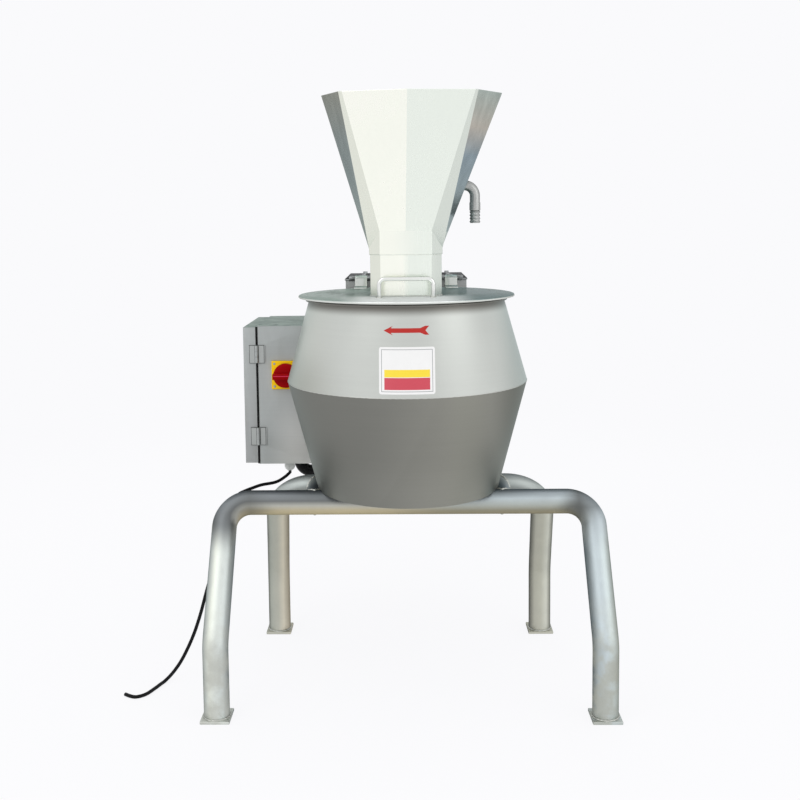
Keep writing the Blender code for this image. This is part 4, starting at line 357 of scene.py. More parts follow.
plainSteel = {"above": 0.80, "metallic": 1.0, "edgeTint": 0.30, "grain": (60, 60, 60), "fineScale": 900.0,
              "cloudScale": 9.0, "grainTone": 0.10, "fineTone": 0.04, "cloudTone": 0.10, "roughness": 0.32,
              "grainRough": 0.10, "cloudRough": 0.10, "fineBump": 0.3, "bump": 0.10}
steelLooks = {
    "hopperSheet": {"paint": hopperPaint, "grain": (160, 160, 4), "roughness": 0.26, "grainTone": 0.05,
                    "cloudTone": 0.05, "edgeTint": 0.55, "bump": 0.03, "fineBump": 0.0},
    "lidSheet": {"paint": lidPaint, "grain": (8, 200, 8), "roughness": 0.14, "edgeTint": 0.14,
                 "metallic": 0.45},
    "upperConeSheet": {"paint": upperConePaint, "grain": (4, 4, 260), "roughness": 0.40, "edgeTint": 0.85,
                       "grainTone": 0.07, "fineTone": 0.07},
    "lowerConeSheet": {"paint": lowerConePaint, "grain": (4, 4, 300), "roughness": 0.50, "grainTone": 0.12,
                       "edgeTint": 0.85, "fineTone": 0.09},
    "blastedTube": {"paint": tubePaint, "cloudScale": 22.0, "cloudTone": 0.30, "cloudRough": 0.25,
                    "fineTone": 0.16, "roughness": 0.54, "fineBump": 1.0, "bump": 0.35},
    "boxSheet": {"paint": boxPaint, "grain": (4, 4, 260), "roughness": 0.45,
                 "metallic": 0.40, "cloudTone": 0.20, "edgeTint": 0.06},
    "housingSheet": {"colour": (0.47, 0.48, 0.475), "grain": (4, 4, 260), "roughness": 0.36},
    "plateSheet": {"colour": (0.27, 0.28, 0.28), "roughness": 0.34, "edgeTint": 0.06,
                   "grain": (90, 12, 90), "grainTone": 0.5},
    "brightRod": {"colour": (0.84, 0.85, 0.82), "roughness": 0.20, "above": 1.0, "edgeTint": 0.02},
    "pipeSteel": {"colour": (0.46, 0.47, 0.455), "roughness": 0.40, "edgeTint": 0.08, "cloudScale": 90.0,
                  "cloudTone": 0.5},
    "leafSteel": {"colour": (0.42, 0.44, 0.43), "roughness": 0.34, "metallic": 0.6},
    "groundSteel": {"colour": (0.62, 0.63, 0.64), "grain": (200, 200, 8), "roughness": 0.20, "above": 0.9},
    "weldSteel": {"colour": (0.56, 0.57, 0.53), "cloudScale": 120.0, "roughness": 0.40, "bump": 0.6,
                  "above": 0.9},
    "castIron": {"colour": (0.085, 0.085, 0.09), "fineScale": 420.0, "fineBump": 1.4, "bump": 0.5,
                 "roughness": 0.55, "above": 1.0},
}
finishes = {name: steel(name, {**plainSteel, **look}) for name, look in steelLooks.items()}


def moulded(name, look):
    surface = Surface(name, Metallic=0.0, Specular_IOR_Level=look["specular"])
    cloud = surface.noise(look["cloudScale"], 3.0)
    pores = surface.noise(look["poreScale"], 2.0)
    tone = (cloud - 0.5) * look["cloudTone"] + (pores - 0.5) * look["poreTone"] + 1.0
    surface.feed("Base Color", surface.tinted(look["colour"], tone))
    rough = (cloud - 0.5) * look["cloudRough"] + look["roughness"]
    surface.feed("Roughness", surface.clamp(rough, 0.05, 0.95))
    surface.bump(pores, look["bump"], 0.0003)
    return surface.material


plainMoulding = {"specular": 0.35, "cloudScale": 30.0, "cloudTone": 0.12, "cloudRough": 0.14,
                 "poreScale": 1400.0, "poreTone": 0.06, "bump": 0.12}
mouldedLooks = {
    "cordRubber": {"colour": (0.007, 0.007, 0.008), "roughness": 0.42, "specular": 0.10, "cloudScale": 60.0},
    "beltRubber": {"colour": (0.020, 0.020, 0.021), "roughness": 0.70, "bump": 0.3},
    "conduitRubber": {"colour": (0.006, 0.006, 0.007), "roughness": 0.34, "specular": 0.12},
    # the seal is darkened as painted shade under the lid
    "sealSilicone": {"colour": (0.20, 0.195, 0.18), "roughness": 0.45},
    "glandNylon": {"colour": (0.62, 0.64, 0.63), "roughness": 0.30, "cloudTone": 0.2},
    "yellowPlate": {"colour": (0.98, 0.63, 0.012), "roughness": 0.42, "specular": 0.03},
    "redKnob": {"colour": (0.33, 0.001, 0.003), "roughness": 0.34, "specular": 0.04},
    "knobHighlight": {"colour": (0.72, 0.035, 0.10), "roughness": 0.30, "specular": 0.2},
    "greyMoulding": {"colour": (0.20, 0.20, 0.21), "roughness": 0.50},
    "motorPaint": {"colour": (0.09, 0.15, 0.21), "roughness": 0.38, "cloudTone": 0.2, "bump": 0.3},
    "arrowRed": {"colour": (0.46, 0.035, 0.030), "roughness": 0.35, "specular": 0.1},
    "seamFill": {"colour": (0.86, 0.88, 0.82), "roughness": 0.50, "specular": 0.1},
    "seamShadow": {"colour": (0.010, 0.010, 0.010), "roughness": 0.80, "specular": 0.05},
}
finishes.update({name: moulded(name, {**plainMoulding, **look}) for name, look in mouldedLooks.items()})
print("finishes made:", len(finishes))

# Ways of making pieces


def storeFacing(mesh):  # the way each corner faces, which the steels' painted light and shade follow
    normals = [0.0] * (3 * len(mesh.loops))
    mesh.corner_normals.foreach_get("vector", normals)
    layer = mesh.attributes.new("facing", "FLOAT_VECTOR", "CORNER")
    layer.data.foreach_set("vector", normals)


def asPiece(obj, name, body, finish, replaced=(), smooth=32.0):
    pick(obj)
    obj.name = name
    bpy.ops.object.transform_apply()
    bpy.ops.object.shade_smooth_by_angle(angle=math.radians(smooth))
    obj.data.materials.clear()
    obj.data.materials.append(finishes[finish])
    storeFacing(obj.data)
    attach(obj, body)
    if replaced:
        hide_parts(*replaced)
    obj.select_set(False)


def meshObject(name, points, edges=(), faces=()):
    mesh = bpy.data.meshes.new(name)
    mesh.from_pydata([tuple(point) for point in points], list(edges), list(faces))
    return added(name, mesh)


def editWhole(*steps):  # each step is an operator with its settings, run on the whole mesh
    bpy.ops.object.mode_set(mode="EDIT")
    for operator, settings in steps:
        bpy.ops.mesh.select_all(action="SELECT")
        operator(**settings)
    bpy.ops.object.mode_set(mode="OBJECT")


merge = (bpy.ops.mesh.remove_doubles, {"threshold": 0.000005})
faceOut = (bpy.ops.mesh.normals_make_consistent, {"inside": False})


def lathe(profile, centre=(0.0, axisY, 0.0), steps=144, closed=True, along=(0, 0, 1)):
    centre, along, out = Vector(centre), Vector(along), Vector((1, 0, 0))
    points = [centre + out * radius + along * height for radius, height in profile]
    edges = [(i, i + 1) for i in range(len(points) - 1)]
    if closed:
        edges.append((len(points) - 1, 0))
    obj = meshObject("turned", points, edges)
    spin = {"steps": steps, "angle": math.tau, "center": centre, "axis": along}
    editWhole((bpy.ops.mesh.spin, spin), merge, faceOut)
    return obj


def withModifier(obj, kind, **values):
    modifier = obj.modifiers.new(kind.lower(), kind)
    for key, value in values.items():
        setattr(modifier, key, value)
    bpy.context.view_layer.objects.active = obj
    obj.select_set(True)
    bpy.ops.object.modifier_apply(modifier=modifier.name)
    return obj


def bevelled(obj, width, segments=2, angle=30.0):
    return withModifier(obj, "BEVEL", width=width, segments=segments, limit_method="ANGLE",
                        angle_limit=math.radians(angle))


def without(obj, cutter):
    withModifier(obj, "BOOLEAN", object=cutter, operation="DIFFERENCE", solver="EXACT")
    bpy.data.objects.remove(cutter)
    return obj


def block(low, high):
    low, high = Vector(low), Vector(high)
    deselect()
    bpy.ops.mesh.primitive_cube_add(size=1, location=(low + high) / 2)
    obj = bpy.context.object
    obj.scale = high - low
    bpy.ops.object.transform_apply()
    return obj


def rod(start, end, radius, sides=48):
    start, end = Vector(start), Vector(end)
    deselect()
    bpy.ops.mesh.primitive_cylinder_add(
        vertices=sides, radius=radius, depth=(end - start).length, location=(start + end) / 2
    )
    obj = bpy.context.object
    obj.rotation_euler = (end - start).to_track_quat("Z", "Y").to_euler()
    bpy.ops.object.transform_apply()
    return obj


def joined(first, *others):
    pick(first, *others)
    bpy.ops.object.join()
    return first


def roundedPath(corners, radius, step=4.0):
    corners = [Vector(corner) for corner in corners]
    path = [corners[0]]
    for before, corner, after in zip(corners, corners[1:], corners[2:]):
        first, second = (before - corner).normalized(), (after - corner).normalized()
        half = first.angle(second) / 2
        reach = radius / math.tan(half)
        centre = corner + (first + second).normalized() * radius / math.sin(half)
        start, end = corner + first * reach - centre, corner + second * reach - centre
        count = max(3, round(math.degrees(math.pi - 2 * half) / step))
        path += [centre + radius * start.slerp(end, i / count) for i in range(count + 1)]
    return path + [corners[-1]]


def tube(points, radius, sides=12, cyclic=False, swell=None):
    data = bpy.data.curves.new("tube", "CURVE")
    data.dimensions = "3D"
    data.bevel_depth = radius
    data.bevel_resolution = sides
    data.use_fill_caps = not cyclic
    spline = data.splines.new("POLY")
    spline.points.add(len(points) - 1)
    for i, (spot, place) in enumerate(zip(spline.points, points)):
        spot.co = (*place, 1)
        if swell:
            spot.radius = swell(i)
    spline.use_cyclic_u = cyclic
    added("tube", data)
    bpy.ops.object.convert(target="MESH")
    editWhole(merge)
    return bpy.context.object


def weldRipple(i):
    return 1.0 + 0.22 * math.sin(i * 1.9) + 0.25 * noise.noise((i * 0.37, 0.0, 0.0))


def weldBead(name, points, radius, body):
    bead = tube(points, radius, 3, True, weldRipple)
    asPiece(bead, name, body, "weldSteel", smooth=80.0)


def circle(centre, radius, count):
    cx, cy, cz = centre
    turns = [math.tau * i / count for i in range(count)]
    return [(cx + radius * math.cos(t), cy + radius * math.sin(t), cz) for t in turns]


def dressed(nodeName, finish, edge=0.0006, segments=2, smooth=32.0):
    source = nodes[nodeName]
    obj = added(nodeName + "_skin", source.data.copy())
    editWhole(merge, (bpy.ops.mesh.dissolve_limited, {"angle_limit": math.radians(0.6)}))
    if edge:
        bevelled(obj, edge, segments, 40.0)
    asPiece(obj, obj.name, source["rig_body"], finish, [nodeName], smooth=smooth)


# Power cord: it is shown from the gland to its bare end

cordLook = {
    "radius": 0.0037, "gland": (-0.2765, 0.190, 0.3949), "start": (-0.2765, 0.190, 0.3892), "lying": 0.004,
    "spacing": 0.0135,
    "route": [
        (-0.288, 0.180, 0.3805), (-0.307, 0.165, 0.3725), (-0.337, 0.140, 0.3725), (-0.354, 0.125, 0.3700),
        (-0.371, 0.110, 0.3665), (-0.385, 0.098, 0.3610), (-0.400, 0.075, 0.3450), (-0.412, 0.060, 0.3180),
        (-0.419, 0.045, 0.2850), (-0.424, 0.030, 0.2530), (-0.432, 0.012, 0.2120), (-0.443, -0.004, 0.1700),
        (-0.454, -0.018, 0.1270), (-0.468, -0.032, 0.0850), (-0.488, -0.046, 0.0430),
        (-0.507, -0.056, 0.0160), (-0.523, -0.078, 0.0040), (-0.534, -0.106, 0.0040),
        (-0.547, -0.134, 0.0040), (-0.564, -0.146, 0.0040), (-0.578, -0.142, 0.0040),
        (-0.590, -0.134, 0.0040),
    ],
}


def smoothPath(corners, spacing):
    corners = [Vector(corner) for corner in corners]
    ends = [2 * corners[0] - corners[1], *corners, 2 * corners[-1] - corners[-2]]
    fine = []
    for a, b, c, d in zip(ends, ends[1:], ends[2:], ends[3:]):
        for i in range(24):
            t = i / 24
            bow = (2 * a - 5 * b + 4 * c - d) * t**2 + (3 * b - a - 3 * c + d) * t**3
            fine.append(0.5 * (2 * b + (c - a) * t + bow))
    fine.append(corners[-1])
    length = sum((b - a).length for a, b in zip(fine, fine[1:]))
    count = max(2, round(length / spacing))
    path, done, wanted = [fine[0]], 0.0, length / count
    for a, b in zip(fine, fine[1:]):
        step = (b - a).length
        while step and done + step >= wanted * len(path) - 1e-9 and len(path) < count:
            path.append(a.lerp(b, (wanted * len(path) - done) / step))
        done += step
    return path + [fine[-1]]


def inRow(point):
    return Vector((point[0], point[1] + axisY, point[2]))


cordPoints = smoothPath([cordLook["start"], *cordLook["route"]], cordLook["spacing"] / 3)
cordPoints = [inRow((x, y, max(z, cordLook["lying"]))) for x, y, z in cordPoints]
cordPoints.insert(0, inRow(cordLook["gland"]))
cordPiece = tube(cordPoints, cordLook["radius"], 4)
asPiece(cordPiece, "power_cord_run", "machine", "cordRubber", ["power_cord"], smooth=50.0)

# Barrel: two cones with the rim, cut round the frame's tubes and the belt tunnel

barrel = {"wall": 0.003, "bottomRadius": 0.193, "ridgeRadius": 0.2535, "topRadius": 0.206, "bottom": 0.4105,
          "ridge": 0.640, "top": 0.8095, "rimOut": 0.0065, "rimIn": 0.0095, "rimThickness": 0.004,
          "seam": 0.0002, "steps": 180, "edge": 0.0006, "cutReach": 0.4, "tunnelReach": 0.3}
b = barrel
rimOuter, rimInner = b["topRadius"] + b["rimOut"], b["topRadius"] - b["rimIn"]
rimTop = b["top"] + b["rimThickness"]
upperProfile = [
    (rimOuter, rimTop), (rimOuter, b["top"]), (b["topRadius"], b["top"]),
    (b["ridgeRadius"], b["ridge"] + b["seam"]), (b["ridgeRadius"] - b["wall"], b["ridge"] + b["seam"]),
    (b["topRadius"] - b["wall"], b["top"]), (rimInner, b["top"]), (rimInner, rimTop),
]
upperCone = bevelled(lathe(upperProfile, steps=b["steps"]), b["edge"], 2, 25.0)
asPiece(upperCone, "upper_cone", "machine", "upperConeSheet", ["upper_barrel_cone"])
lowerProfile = [
    (b["ridgeRadius"], b["ridge"] - b["seam"]), (b["bottomRadius"], b["bottom"]),
    (b["bottomRadius"] - b["wall"], b["bottom"]), (b["ridgeRadius"] - b["wall"], b["ridge"] - b["seam"]),
]
lowerCone = bevelled(lathe(lowerProfile, steps=b["steps"]), b["edge"], 2, 25.0)
saddle = machine["tubeRadius"] + machine["gap"]
height, gap = machine["frameHeight"], machine["gap"]
archLines = [axisY + side * machine["archY"] for side in (-1, 1)]
for side, y in zip((-1, 1), archLines):
    without(lowerCone, rod((-b["cutReach"], y, height), (b["cutReach"], y, height), saddle, 96))
    x = side * machine["railX"]
    without(lowerCone, rod((x, archLines[0], height), (x, archLines[1], height), saddle, 96))
trayLow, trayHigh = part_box("belt_tray")
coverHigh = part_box("belt_cover")[1]
without(lowerCone, block((trayLow.x - gap, axisY, trayLow.z - gap),
                         (trayHigh.x + gap, axisY + b["tunnelReach"], coverHigh.z + gap)))
asPiece(lowerCone, "lower_cone", "machine", "lowerConeSheet", ["lower_barrel_cone"])
ridgeLine = circle((0, axisY, b["ridge"]), b["ridgeRadius"] - 0.0008, 400)
weldBead("ridge_weld", ridgeLine, 0.0010, "machine")
print("barrel made")

# Frame: bent tubes, foot plates and weld beads

frameLook = {"frontLeg": 0.382, "rearLeg": 0.310, "frontSplay": 0.160, "rearSplay": 0.143, "ankle": 0.150,
             "frontBend": 0.053, "rearBend": 0.087, "rearKnees": (-0.290, 0.299), "footSide": 0.058,
             "footThickness": 0.006, "footEdge": 0.0012, "weld": 0.0020}
f = frameLook
height, tubeR = machine["frameHeight"], machine["tubeRadius"]
for nodeName, legX, knees, bend, side, splay in (
    ("front_arch", f["frontLeg"], (-f["frontLeg"], f["frontLeg"]), f["frontBend"], -1, f["frontSplay"]),
    ("rear_arch", f["rearLeg"], f["rearKnees"], f["rearBend"], 1, f["rearSplay"]),
):
    archY = axisY + side * machine["archY"]
    footY = archY + side * splay
    corners = [
        (-legX, footY, f["footThickness"] / 2),
        (-legX, footY, f["ankle"]),
        (knees[0], archY, height),
        (knees[1], archY, height),
        (legX, footY, f["ankle"]),
        (legX, footY, f["footThickness"] / 2),
    ]
    bent = tube(roundedPath(corners, bend), tubeR, 22)
    plates = []
    for x in (-legX, legX):
        half = f["footSide"] / 2
        plate = block((x - half, footY - half, 0), (x + half, footY + half, f["footThickness"]))
        plates.append(bevelled(plate, f["footEdge"], 3))
    arch = joined(bent, *plates)
    asPiece(arch, nodeName + "_tube", "machine", "blastedTube", [nodeName], smooth=40.0)
    for hand, x in (("left", -legX), ("right", legX)):
        ring = circle((x, footY, f["footThickness"] + 0.0004), tubeR + 0.0002, 60)
        weldBead(f"{nodeName}_{hand}_foot_weld", ring, f["weld"], "machine")
for hand, side in (("left", -1), ("right", 1)):
    x = side * machine["railX"]
    inset = tubeR * 0.3
    rail = rod(
        (x, axisY - machine["archY"] + inset, height),
        (x, axisY + machine["archY"] - inset, height),
        tubeR - machine["gap"],
        64,
    )
    asPiece(rail, f"{hand}_rail_tube", "machine", "blastedTube", [f"{hand}_rail"], smooth=40.0)
    for end in (-1, 1):
        saddleLine = []
        for i in range(72):
            t = math.tau * i / 72
            y = axisY + end * (machine["archY"] - tubeR * abs(math.cos(t)))
            saddleLine.append((x + tubeR * math.cos(t), y, height + tubeR * math.sin(t)))
        weldBead(f"{hand}_rail_weld_{end + 1}", saddleLine, 0.0025, "machine")
print("frame made")

# Hopper, neck and lid, which open together

dressed("lid_plate", "lidSheet", 0.0009, 3)
dressed("hopper_neck", "hopperSheet", 0.0005, 2, 20.0)
flareLook = {"base": 0.9062, "sheet": 0.002, "sideKnee": 0.9182, "frontKnee": 0.9542, "mouth": 1.2275,
             "neckX": 0.0735, "neckY": 0.077, "chamfer": 0.021,
             "right": [(0.0054, 0.170), (0.1379, 0.150), (0.1431, 0.146), (0.1937, 0.083)],
             "left": [(0.1211, 0.150), (0.1277, 0.146), (0.1651, 0.083)], "fold": 0.0006}
fl = flareLook


def around(right, left):  # corners counter-clockwise from the front fold, the back a mirror of the front
    ring = [(x, -y) for x, y in right] + [(x, y) for x, y in reversed(right)]
    return ring + [(-x, y) for x, y in left] + [(-x, -y) for x, y in reversed(left)]


sideY = fl["neckY"] - fl["chamfer"]
neckSide = [(fl["neckX"] - fl["chamfer"], fl["neckY"]), (fl["neckX"], sideY), (fl["neckX"], sideY / 3)]
neckRing = around([(0.0, fl["neckY"]), *neckSide], neckSide)
kneeRing = [(x, y, fl["frontKnee"] if abs(y) > fl["neckY"] - 0.001 else fl["sideKnee"]) for x, y in neckRing]
mouthRing = [(x, y, fl["mouth"]) for x, y in around(fl["right"], fl["left"])]


def raised(obj, fromRing, toRing):  # extrudes the open edge and moves each new corner to its place
    bpy.ops.object.mode_set(mode="EDIT")
    bpy.ops.mesh.extrude_edges_move(TRANSFORM_OT_translate={"value": (0, 0, 0.1)})
    bpy.ops.object.mode_set(mode="OBJECT")
    for vertex in obj.data.vertices:
        if vertex.select:
            home = min(range(len(fromRing)), key=lambda i: (Vector(fromRing[i][:2]) - vertex.co.xy).length)
            vertex.co = toRing[home]


count = len(neckRing)
neckEdges = [(i, (i + 1) % count) for i in range(count)]
flare = meshObject("flare", [(x, y, fl["base"]) for x, y in neckRing], neckEdges)
editWhole((bpy.ops.mesh.select_all, {"action": "SELECT"}))
raised(flare, neckRing, kneeRing)
raised(flare, neckRing, mouthRing)
flare.location.y = axisY
editWhole(faceOut)
withModifier(flare, "SOLIDIFY", thickness=fl["sheet"], offset=-1, use_even_offset=True)
bevelled(flare, fl["fold"], 2, 5.0)
asPiece(flare, "hopper_flare_sheet", "lid", "hopperSheet", ["hopper_flare"], smooth=3.0)
handleLook = {"rod": 0.00425, "width": 0.109, "height": 0.0375, "y": -0.105, "bend": 0.012, "foot": 0.8209}
h = handleLook
handleCorners = [
    inRow((-h["width"] / 2, h["y"], h["foot"])),
    inRow((-h["width"] / 2, h["y"], h["foot"] + h["height"])),
    inRow((h["width"] / 2, h["y"], h["foot"] + h["height"])),
    inRow((h["width"] / 2, h["y"], h["foot"])),
]
handle = tube(roundedPath(handleCorners, h["bend"]), h["rod"], 8)
asPiece(handle, "lid_handle_rod", "lid", "brightRod", ["lid_handle"], smooth=50.0)
for hand, side in (("left", -1), ("right", 1)):
    ring = circle(inRow((side * h["width"] / 2, h["y"], h["foot"] + 0.0005)), h["rod"] + 0.0006, 28)
    weldBead(f"handle_{hand}_weld", ring, 0.0014, "lid")
neckLow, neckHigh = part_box("hopper_neck")
chamfer = fl["chamfer"]
neckCorners = []
for sx, sy, first in ((1, -1, 0), (1, 1, 1), (-1, 1, 0), (-1, -1, 1)):
    cornerX = neckHigh.x * sx
    cornerY = axisY + (neckHigh.y - neckLow.y) / 2 * sy
    pair = [(cornerX - chamfer * sx, cornerY), (cornerX, cornerY - chamfer * sy)]
    neckCorners += pair[::-1] if first else pair
neckLine = []
for i, (x, y) in enumerate(neckCorners):
    nextX, nextY = neckCorners[(i + 1) % len(neckCorners)]
    count = max(2, round(math.hypot(nextX - x, nextY - y) / 0.003))
    for k in range(count):
        share = k / count
        neckLine.append((x + (nextX - x) * share, y + (nextY - y) * share, neckLow.z + 0.0003))
weldBead("neck_weld", neckLine, 0.0016, "lid")
seamLine = [(x, y, fl["base"] - 0.00015) for x, y, z in neckLine]
asPiece(tube(seamLine, 0.0011, 3, True), "neck_seam", "lid", "seamFill", smooth=80.0)

pipeLook = {"radius": 0.0105, "bore": 0.008, "z": 1.0472, "wallX": 0.1232, "reach": 0.146, "drop": 0.038,
            "bend": 0.022, "tail": 0.041, "barbs": 4, "step": 0.0009}
p = pipeLook
pipeCorners = [
    inRow((p["wallX"] - 0.0125, 0, p["z"])),
    inRow((p["reach"], 0, p["z"])),
    inRow((p["reach"], 0, p["z"] - p["drop"])),
]
pipe = tube(roundedPath(pipeCorners, p["bend"]), p["radius"], 12)
collar = p["radius"] + p["step"]
tailProfile = [(p["bore"], 0.002), (collar, 0.002), (collar, -0.35 * p["tail"])]
pitch = 0.65 * p["tail"] / p["barbs"]
for i in range(p["barbs"]):
    top = -0.35 * p["tail"] - i * pitch
    for radius, depth in ((-1, 0.15), (1, 0.55), (-1, 0.95)):
        tailProfile.append((p["radius"] + radius * p["step"], top - depth * pitch))
tailProfile += [(p["radius"] - p["step"], -p["tail"]), (p["bore"], -p["tail"])]
tail = lathe(tailProfile, inRow((p["reach"], 0, p["z"] - p["drop"])), 40)
asPiece(joined(pipe, tail), "water_pipe_bend", "lid", "pipeSteel", ["water_pipe"], smooth=40.0)
pipeRing, ringRadius = [], p["radius"] + 0.0005
for t in (math.tau * i / 40 for i in range(40)):
    lean = 0.35 * p["radius"] * math.sin(t)  # follows the slope of the hopper's side
    spot = (p["wallX"] + lean, axisY + ringRadius * math.cos(t), p["z"] + ringRadius * math.sin(t))
    pipeRing.append(spot)
weldBead("pipe_weld", pipeRing, 0.0015, "lid")
print("hopper and lid made")

# Electrical box: sheets, seam, switch, gland, conduit and hinge leaves

boxLook = {"seam": -0.3425, "bottom": 0.4195, "middleX": -0.2765}

dressed("box_body", "boxSheet", 0.0008, 3)
dressed("box_door", "boxSheet", 0.0008, 3)
dressed("door_latch", "brightRod", 0.0004)
for level in ("lower", "upper"):
    dressed(f"door_hinge_pin_{level}", "brightRod", 0.0003)
    dressed(f"box_bracket_{level}", "blastedTube", 0.0006)
dressed("mounting_plate", "boxSheet", 0.0004)
dressed("contactor", "greyMoulding", 0.0008)
dressed("terminal_strip", "greyMoulding", 0.0004)
dressed("switch_body", "greyMoulding", 0.0006)

seamShadowStripLook = {"face": 0.1494, "width": 0.0023, "low": 0.4205, "high": 0.7375}
v = seamShadowStripLook
# a black strip on each side of the door seam: painted shadow in the gap
for side, body, tag in ((-1, "door", "door"), (1, "machine", "box")):
    inner = boxLook["seam"] + side * 0.0002
    ends = sorted((inner, inner + side * v["width"]))
    shadowStrip = block(inRow((ends[0], v["face"], v["low"])), inRow((ends[1], v["face"] + 0.0012, v["high"])))
    asPiece(shadowStrip, f"{tag}_seam_shadow_strip", body, "seamShadow")

switchLook = {"x": boxLook["middleX"], "z": 0.6265, "plate": 0.065, "face": 0.1437, "thickness": 0.006,
              "knob": 0.0275, "base": 0.016, "grip": 0.014}
s = switchLook
half = s["plate"] / 2
plate = block(inRow((s["x"] - half, s["face"], s["z"] - half)),
              inRow((s["x"] + half, s["face"] + s["thickness"], s["z"] + half)))
bevelled(plate, 0.0016, 3)
ends = [inRow((s["x"], s["face"] + reach, s["z"])) for reach in (-0.01, 0.01)]
without(plate, rod(*ends, 0.0075, 32))
asPiece(plate, "switch_plate_moulding", "machine", "yellowPlate", ["switch_plate"])
knobFace = s["face"] - machine["gap"]
knobProfile = [
    (0.0, -s["base"]), (s["knob"] - 0.0035, -s["base"]), (s["knob"] - 0.0012, -s["base"] + 0.0012),
    (s["knob"], -s["base"] + 0.0040), (s["knob"], -0.0008), (s["knob"] - 0.0008, 0.0), (0.006, 0.0),
    (0.006, 0.0085), (0.0, 0.0085),
]
backwards = (0, 1, 0)
knob = lathe(knobProfile, inRow((s["x"], knobFace, s["z"])), 72, False, backwards)
gripFront = knobFace - s["base"] - s["grip"]
grip = block(inRow((s["x"] - s["knob"], gripFront, s["z"] - s["knob"] / 4)),
             inRow((s["x"] + 0.8 * s["knob"], knobFace - s["base"] / 2, s["z"] + s["knob"] / 4)))
bevelled(grip, 0.0022, 3)
asPiece(joined(knob, grip), "switch_knob_moulding", "switch", "redKnob", ["switch_knob"], smooth=40.0)
# a pink strip along the grip's top edge: a painted highlight
ridge = block(inRow((s["x"] - s["knob"] + 0.003, gripFront - 0.0003, s["z"] + 0.0008)),
              inRow((s["x"] + 0.65 * s["knob"], gripFront + 0.0004, s["z"] + 0.0026)))
asPiece(ridge, "switch_grip_highlight", "switch", "knobHighlight")
for i, (sx, sz) in enumerate(((-1, -1), (1, -1), (1, 1), (-1, 1))):
    reach = half - 0.0065
    spot = inRow((s["x"] + sx * reach, s["face"], s["z"] + sz * reach))
    head = lathe([(0.0, -0.0010), (0.0022, -0.0009), (0.0029, -0.0002), (0.0029, 0.0004), (0.0, 0.0004)],
                 spot, 24, False, backwards)
    slotCut = block(spot + Vector((-0.0022, -0.0012, -0.0004)), spot + Vector((0.0022, -0.0005, 0.0004)))
    without(head, slotCut)
    asPiece(head, f"switch_screw_{i + 1}", "machine", "leafSteel")

glandLook = {"x": boxLook["middleX"], "y": 0.190, "top": boxLook["bottom"], "radius": 0.0125, "drop": 0.024}
g = glandLook
r, top = g["radius"], -0.0003
glandEnd = top - g["drop"]
domeProfile = [
    (0.6 * r, 0.006), (0.6 * r, top), (0.92 * r, top), (0.92 * r, -0.30 * g["drop"]),
    (0.98 * r, -0.33 * g["drop"]), (0.98 * r, -0.62 * g["drop"]), (0.93 * r, -0.74 * g["drop"]),
    (0.80 * r, -0.88 * g["drop"]), (0.60 * r, -0.97 * g["drop"]), (0.50 * r, glandEnd),
    (0.32 * r, glandEnd), (0.32 * r, 0.006),
]
gland = lathe(domeProfile, inRow((g["x"], g["y"], g["top"])), 48)
deselect()
bpy.ops.mesh.primitive_cylinder_add(vertices=6, radius=r, depth=0.0060,
                                    location=inRow((g["x"], g["y"], g["top"] - 0.0036)))
hexNut = bevelled(bpy.context.object, 0.0006, 2)
ends = [inRow((g["x"], g["y"], g["top"] + reach)) for reach in (-0.02, 0.02)]
without(hexNut, rod(*ends, 0.7 * r, 32))
asPiece(joined(gland, hexNut), "cable_gland_nut", "machine", "glandNylon", ["cable_gland"], smooth=35.0)
conduitLook = {
    "radius": 0.0142, "nut": 0.017, "nutLength": 0.013, "boxEnd": (-0.262, 0.275, 0.4192),
    "housingEnd": (-0.1433, 0.275, 0.4460),
    "route": [(-0.262, 0.275, 0.398), (-0.255, 0.275, 0.382), (-0.240, 0.275, 0.3730), (-0.222, 0.275, 0.376),
              (-0.205, 0.275, 0.393), (-0.189, 0.275, 0.419), (-0.171, 0.275, 0.4405)],
}
o = conduitLook
conduitPath = smoothPath([o["boxEnd"], *o["route"], o["housingEnd"]], 0.004)
conduit = tube([inRow(point) for point in conduitPath], o["radius"], 8)
boxEnd, housingEnd = inRow(o["boxEnd"]), inRow(o["housingEnd"])
topNut = bevelled(rod(boxEnd, boxEnd - Vector((0, 0, o["nutLength"])), o["nut"], 12), 0.0008)
sideNut = bevelled(rod(housingEnd, housingEnd - Vector((o["nutLength"], 0, 0)), o["nut"], 12), 0.0008)
asPiece(joined(conduit, topNut, sideNut), "motor_conduit_hose", "machine", "conduitRubber", ["motor_conduit"])

hingeLook = {"levels": (0.045, 0.235), "height": 0.040, "width": 0.0115,
             "face": 0.148, "from": 0.0048, "rim": 0.0009}
k = hingeLook
for low in k["levels"]:
    for side, body, tag in ((1, "machine", "box"), (-1, "door", "door")):
        # each leaf lies on a slightly larger black plate, a painted shadow outline round it
        for finish, grown, proud in (("seamShadow", k["rim"], 0.0003), ("leafSteel", 0.0, 0.0007)):
            ends = sorted(boxLook["seam"] + side * reach for reach in (k["from"], k["from"] + k["width"]))
            base = boxLook["bottom"] + low
            leaf = block(inRow((ends[0] - grown, k["face"] - proud, base - grown)),
                         inRow((ends[1] + grown, k["face"] + 0.0002, base + k["height"] + grown)))
            asPiece(leaf, f"hinge_{tag}_{finish}_{round(low * 1000)}", body, finish)
print("electrical box made")

# Marks on the upper cone: a plain arrow for the rotor's turning, and a label field left without words


def onCone(obj, lift):
    slope = (b["topRadius"] - b["ridgeRadius"]) / (b["top"] - b["ridge"])
    for vertex in obj.data.vertices:
        x, depth, z = vertex.co
        radius = b["ridgeRadius"] + (z - b["ridge"]) * slope + lift + depth
        vertex.co = (x, axisY - math.sqrt(radius**2 - x**2), z)


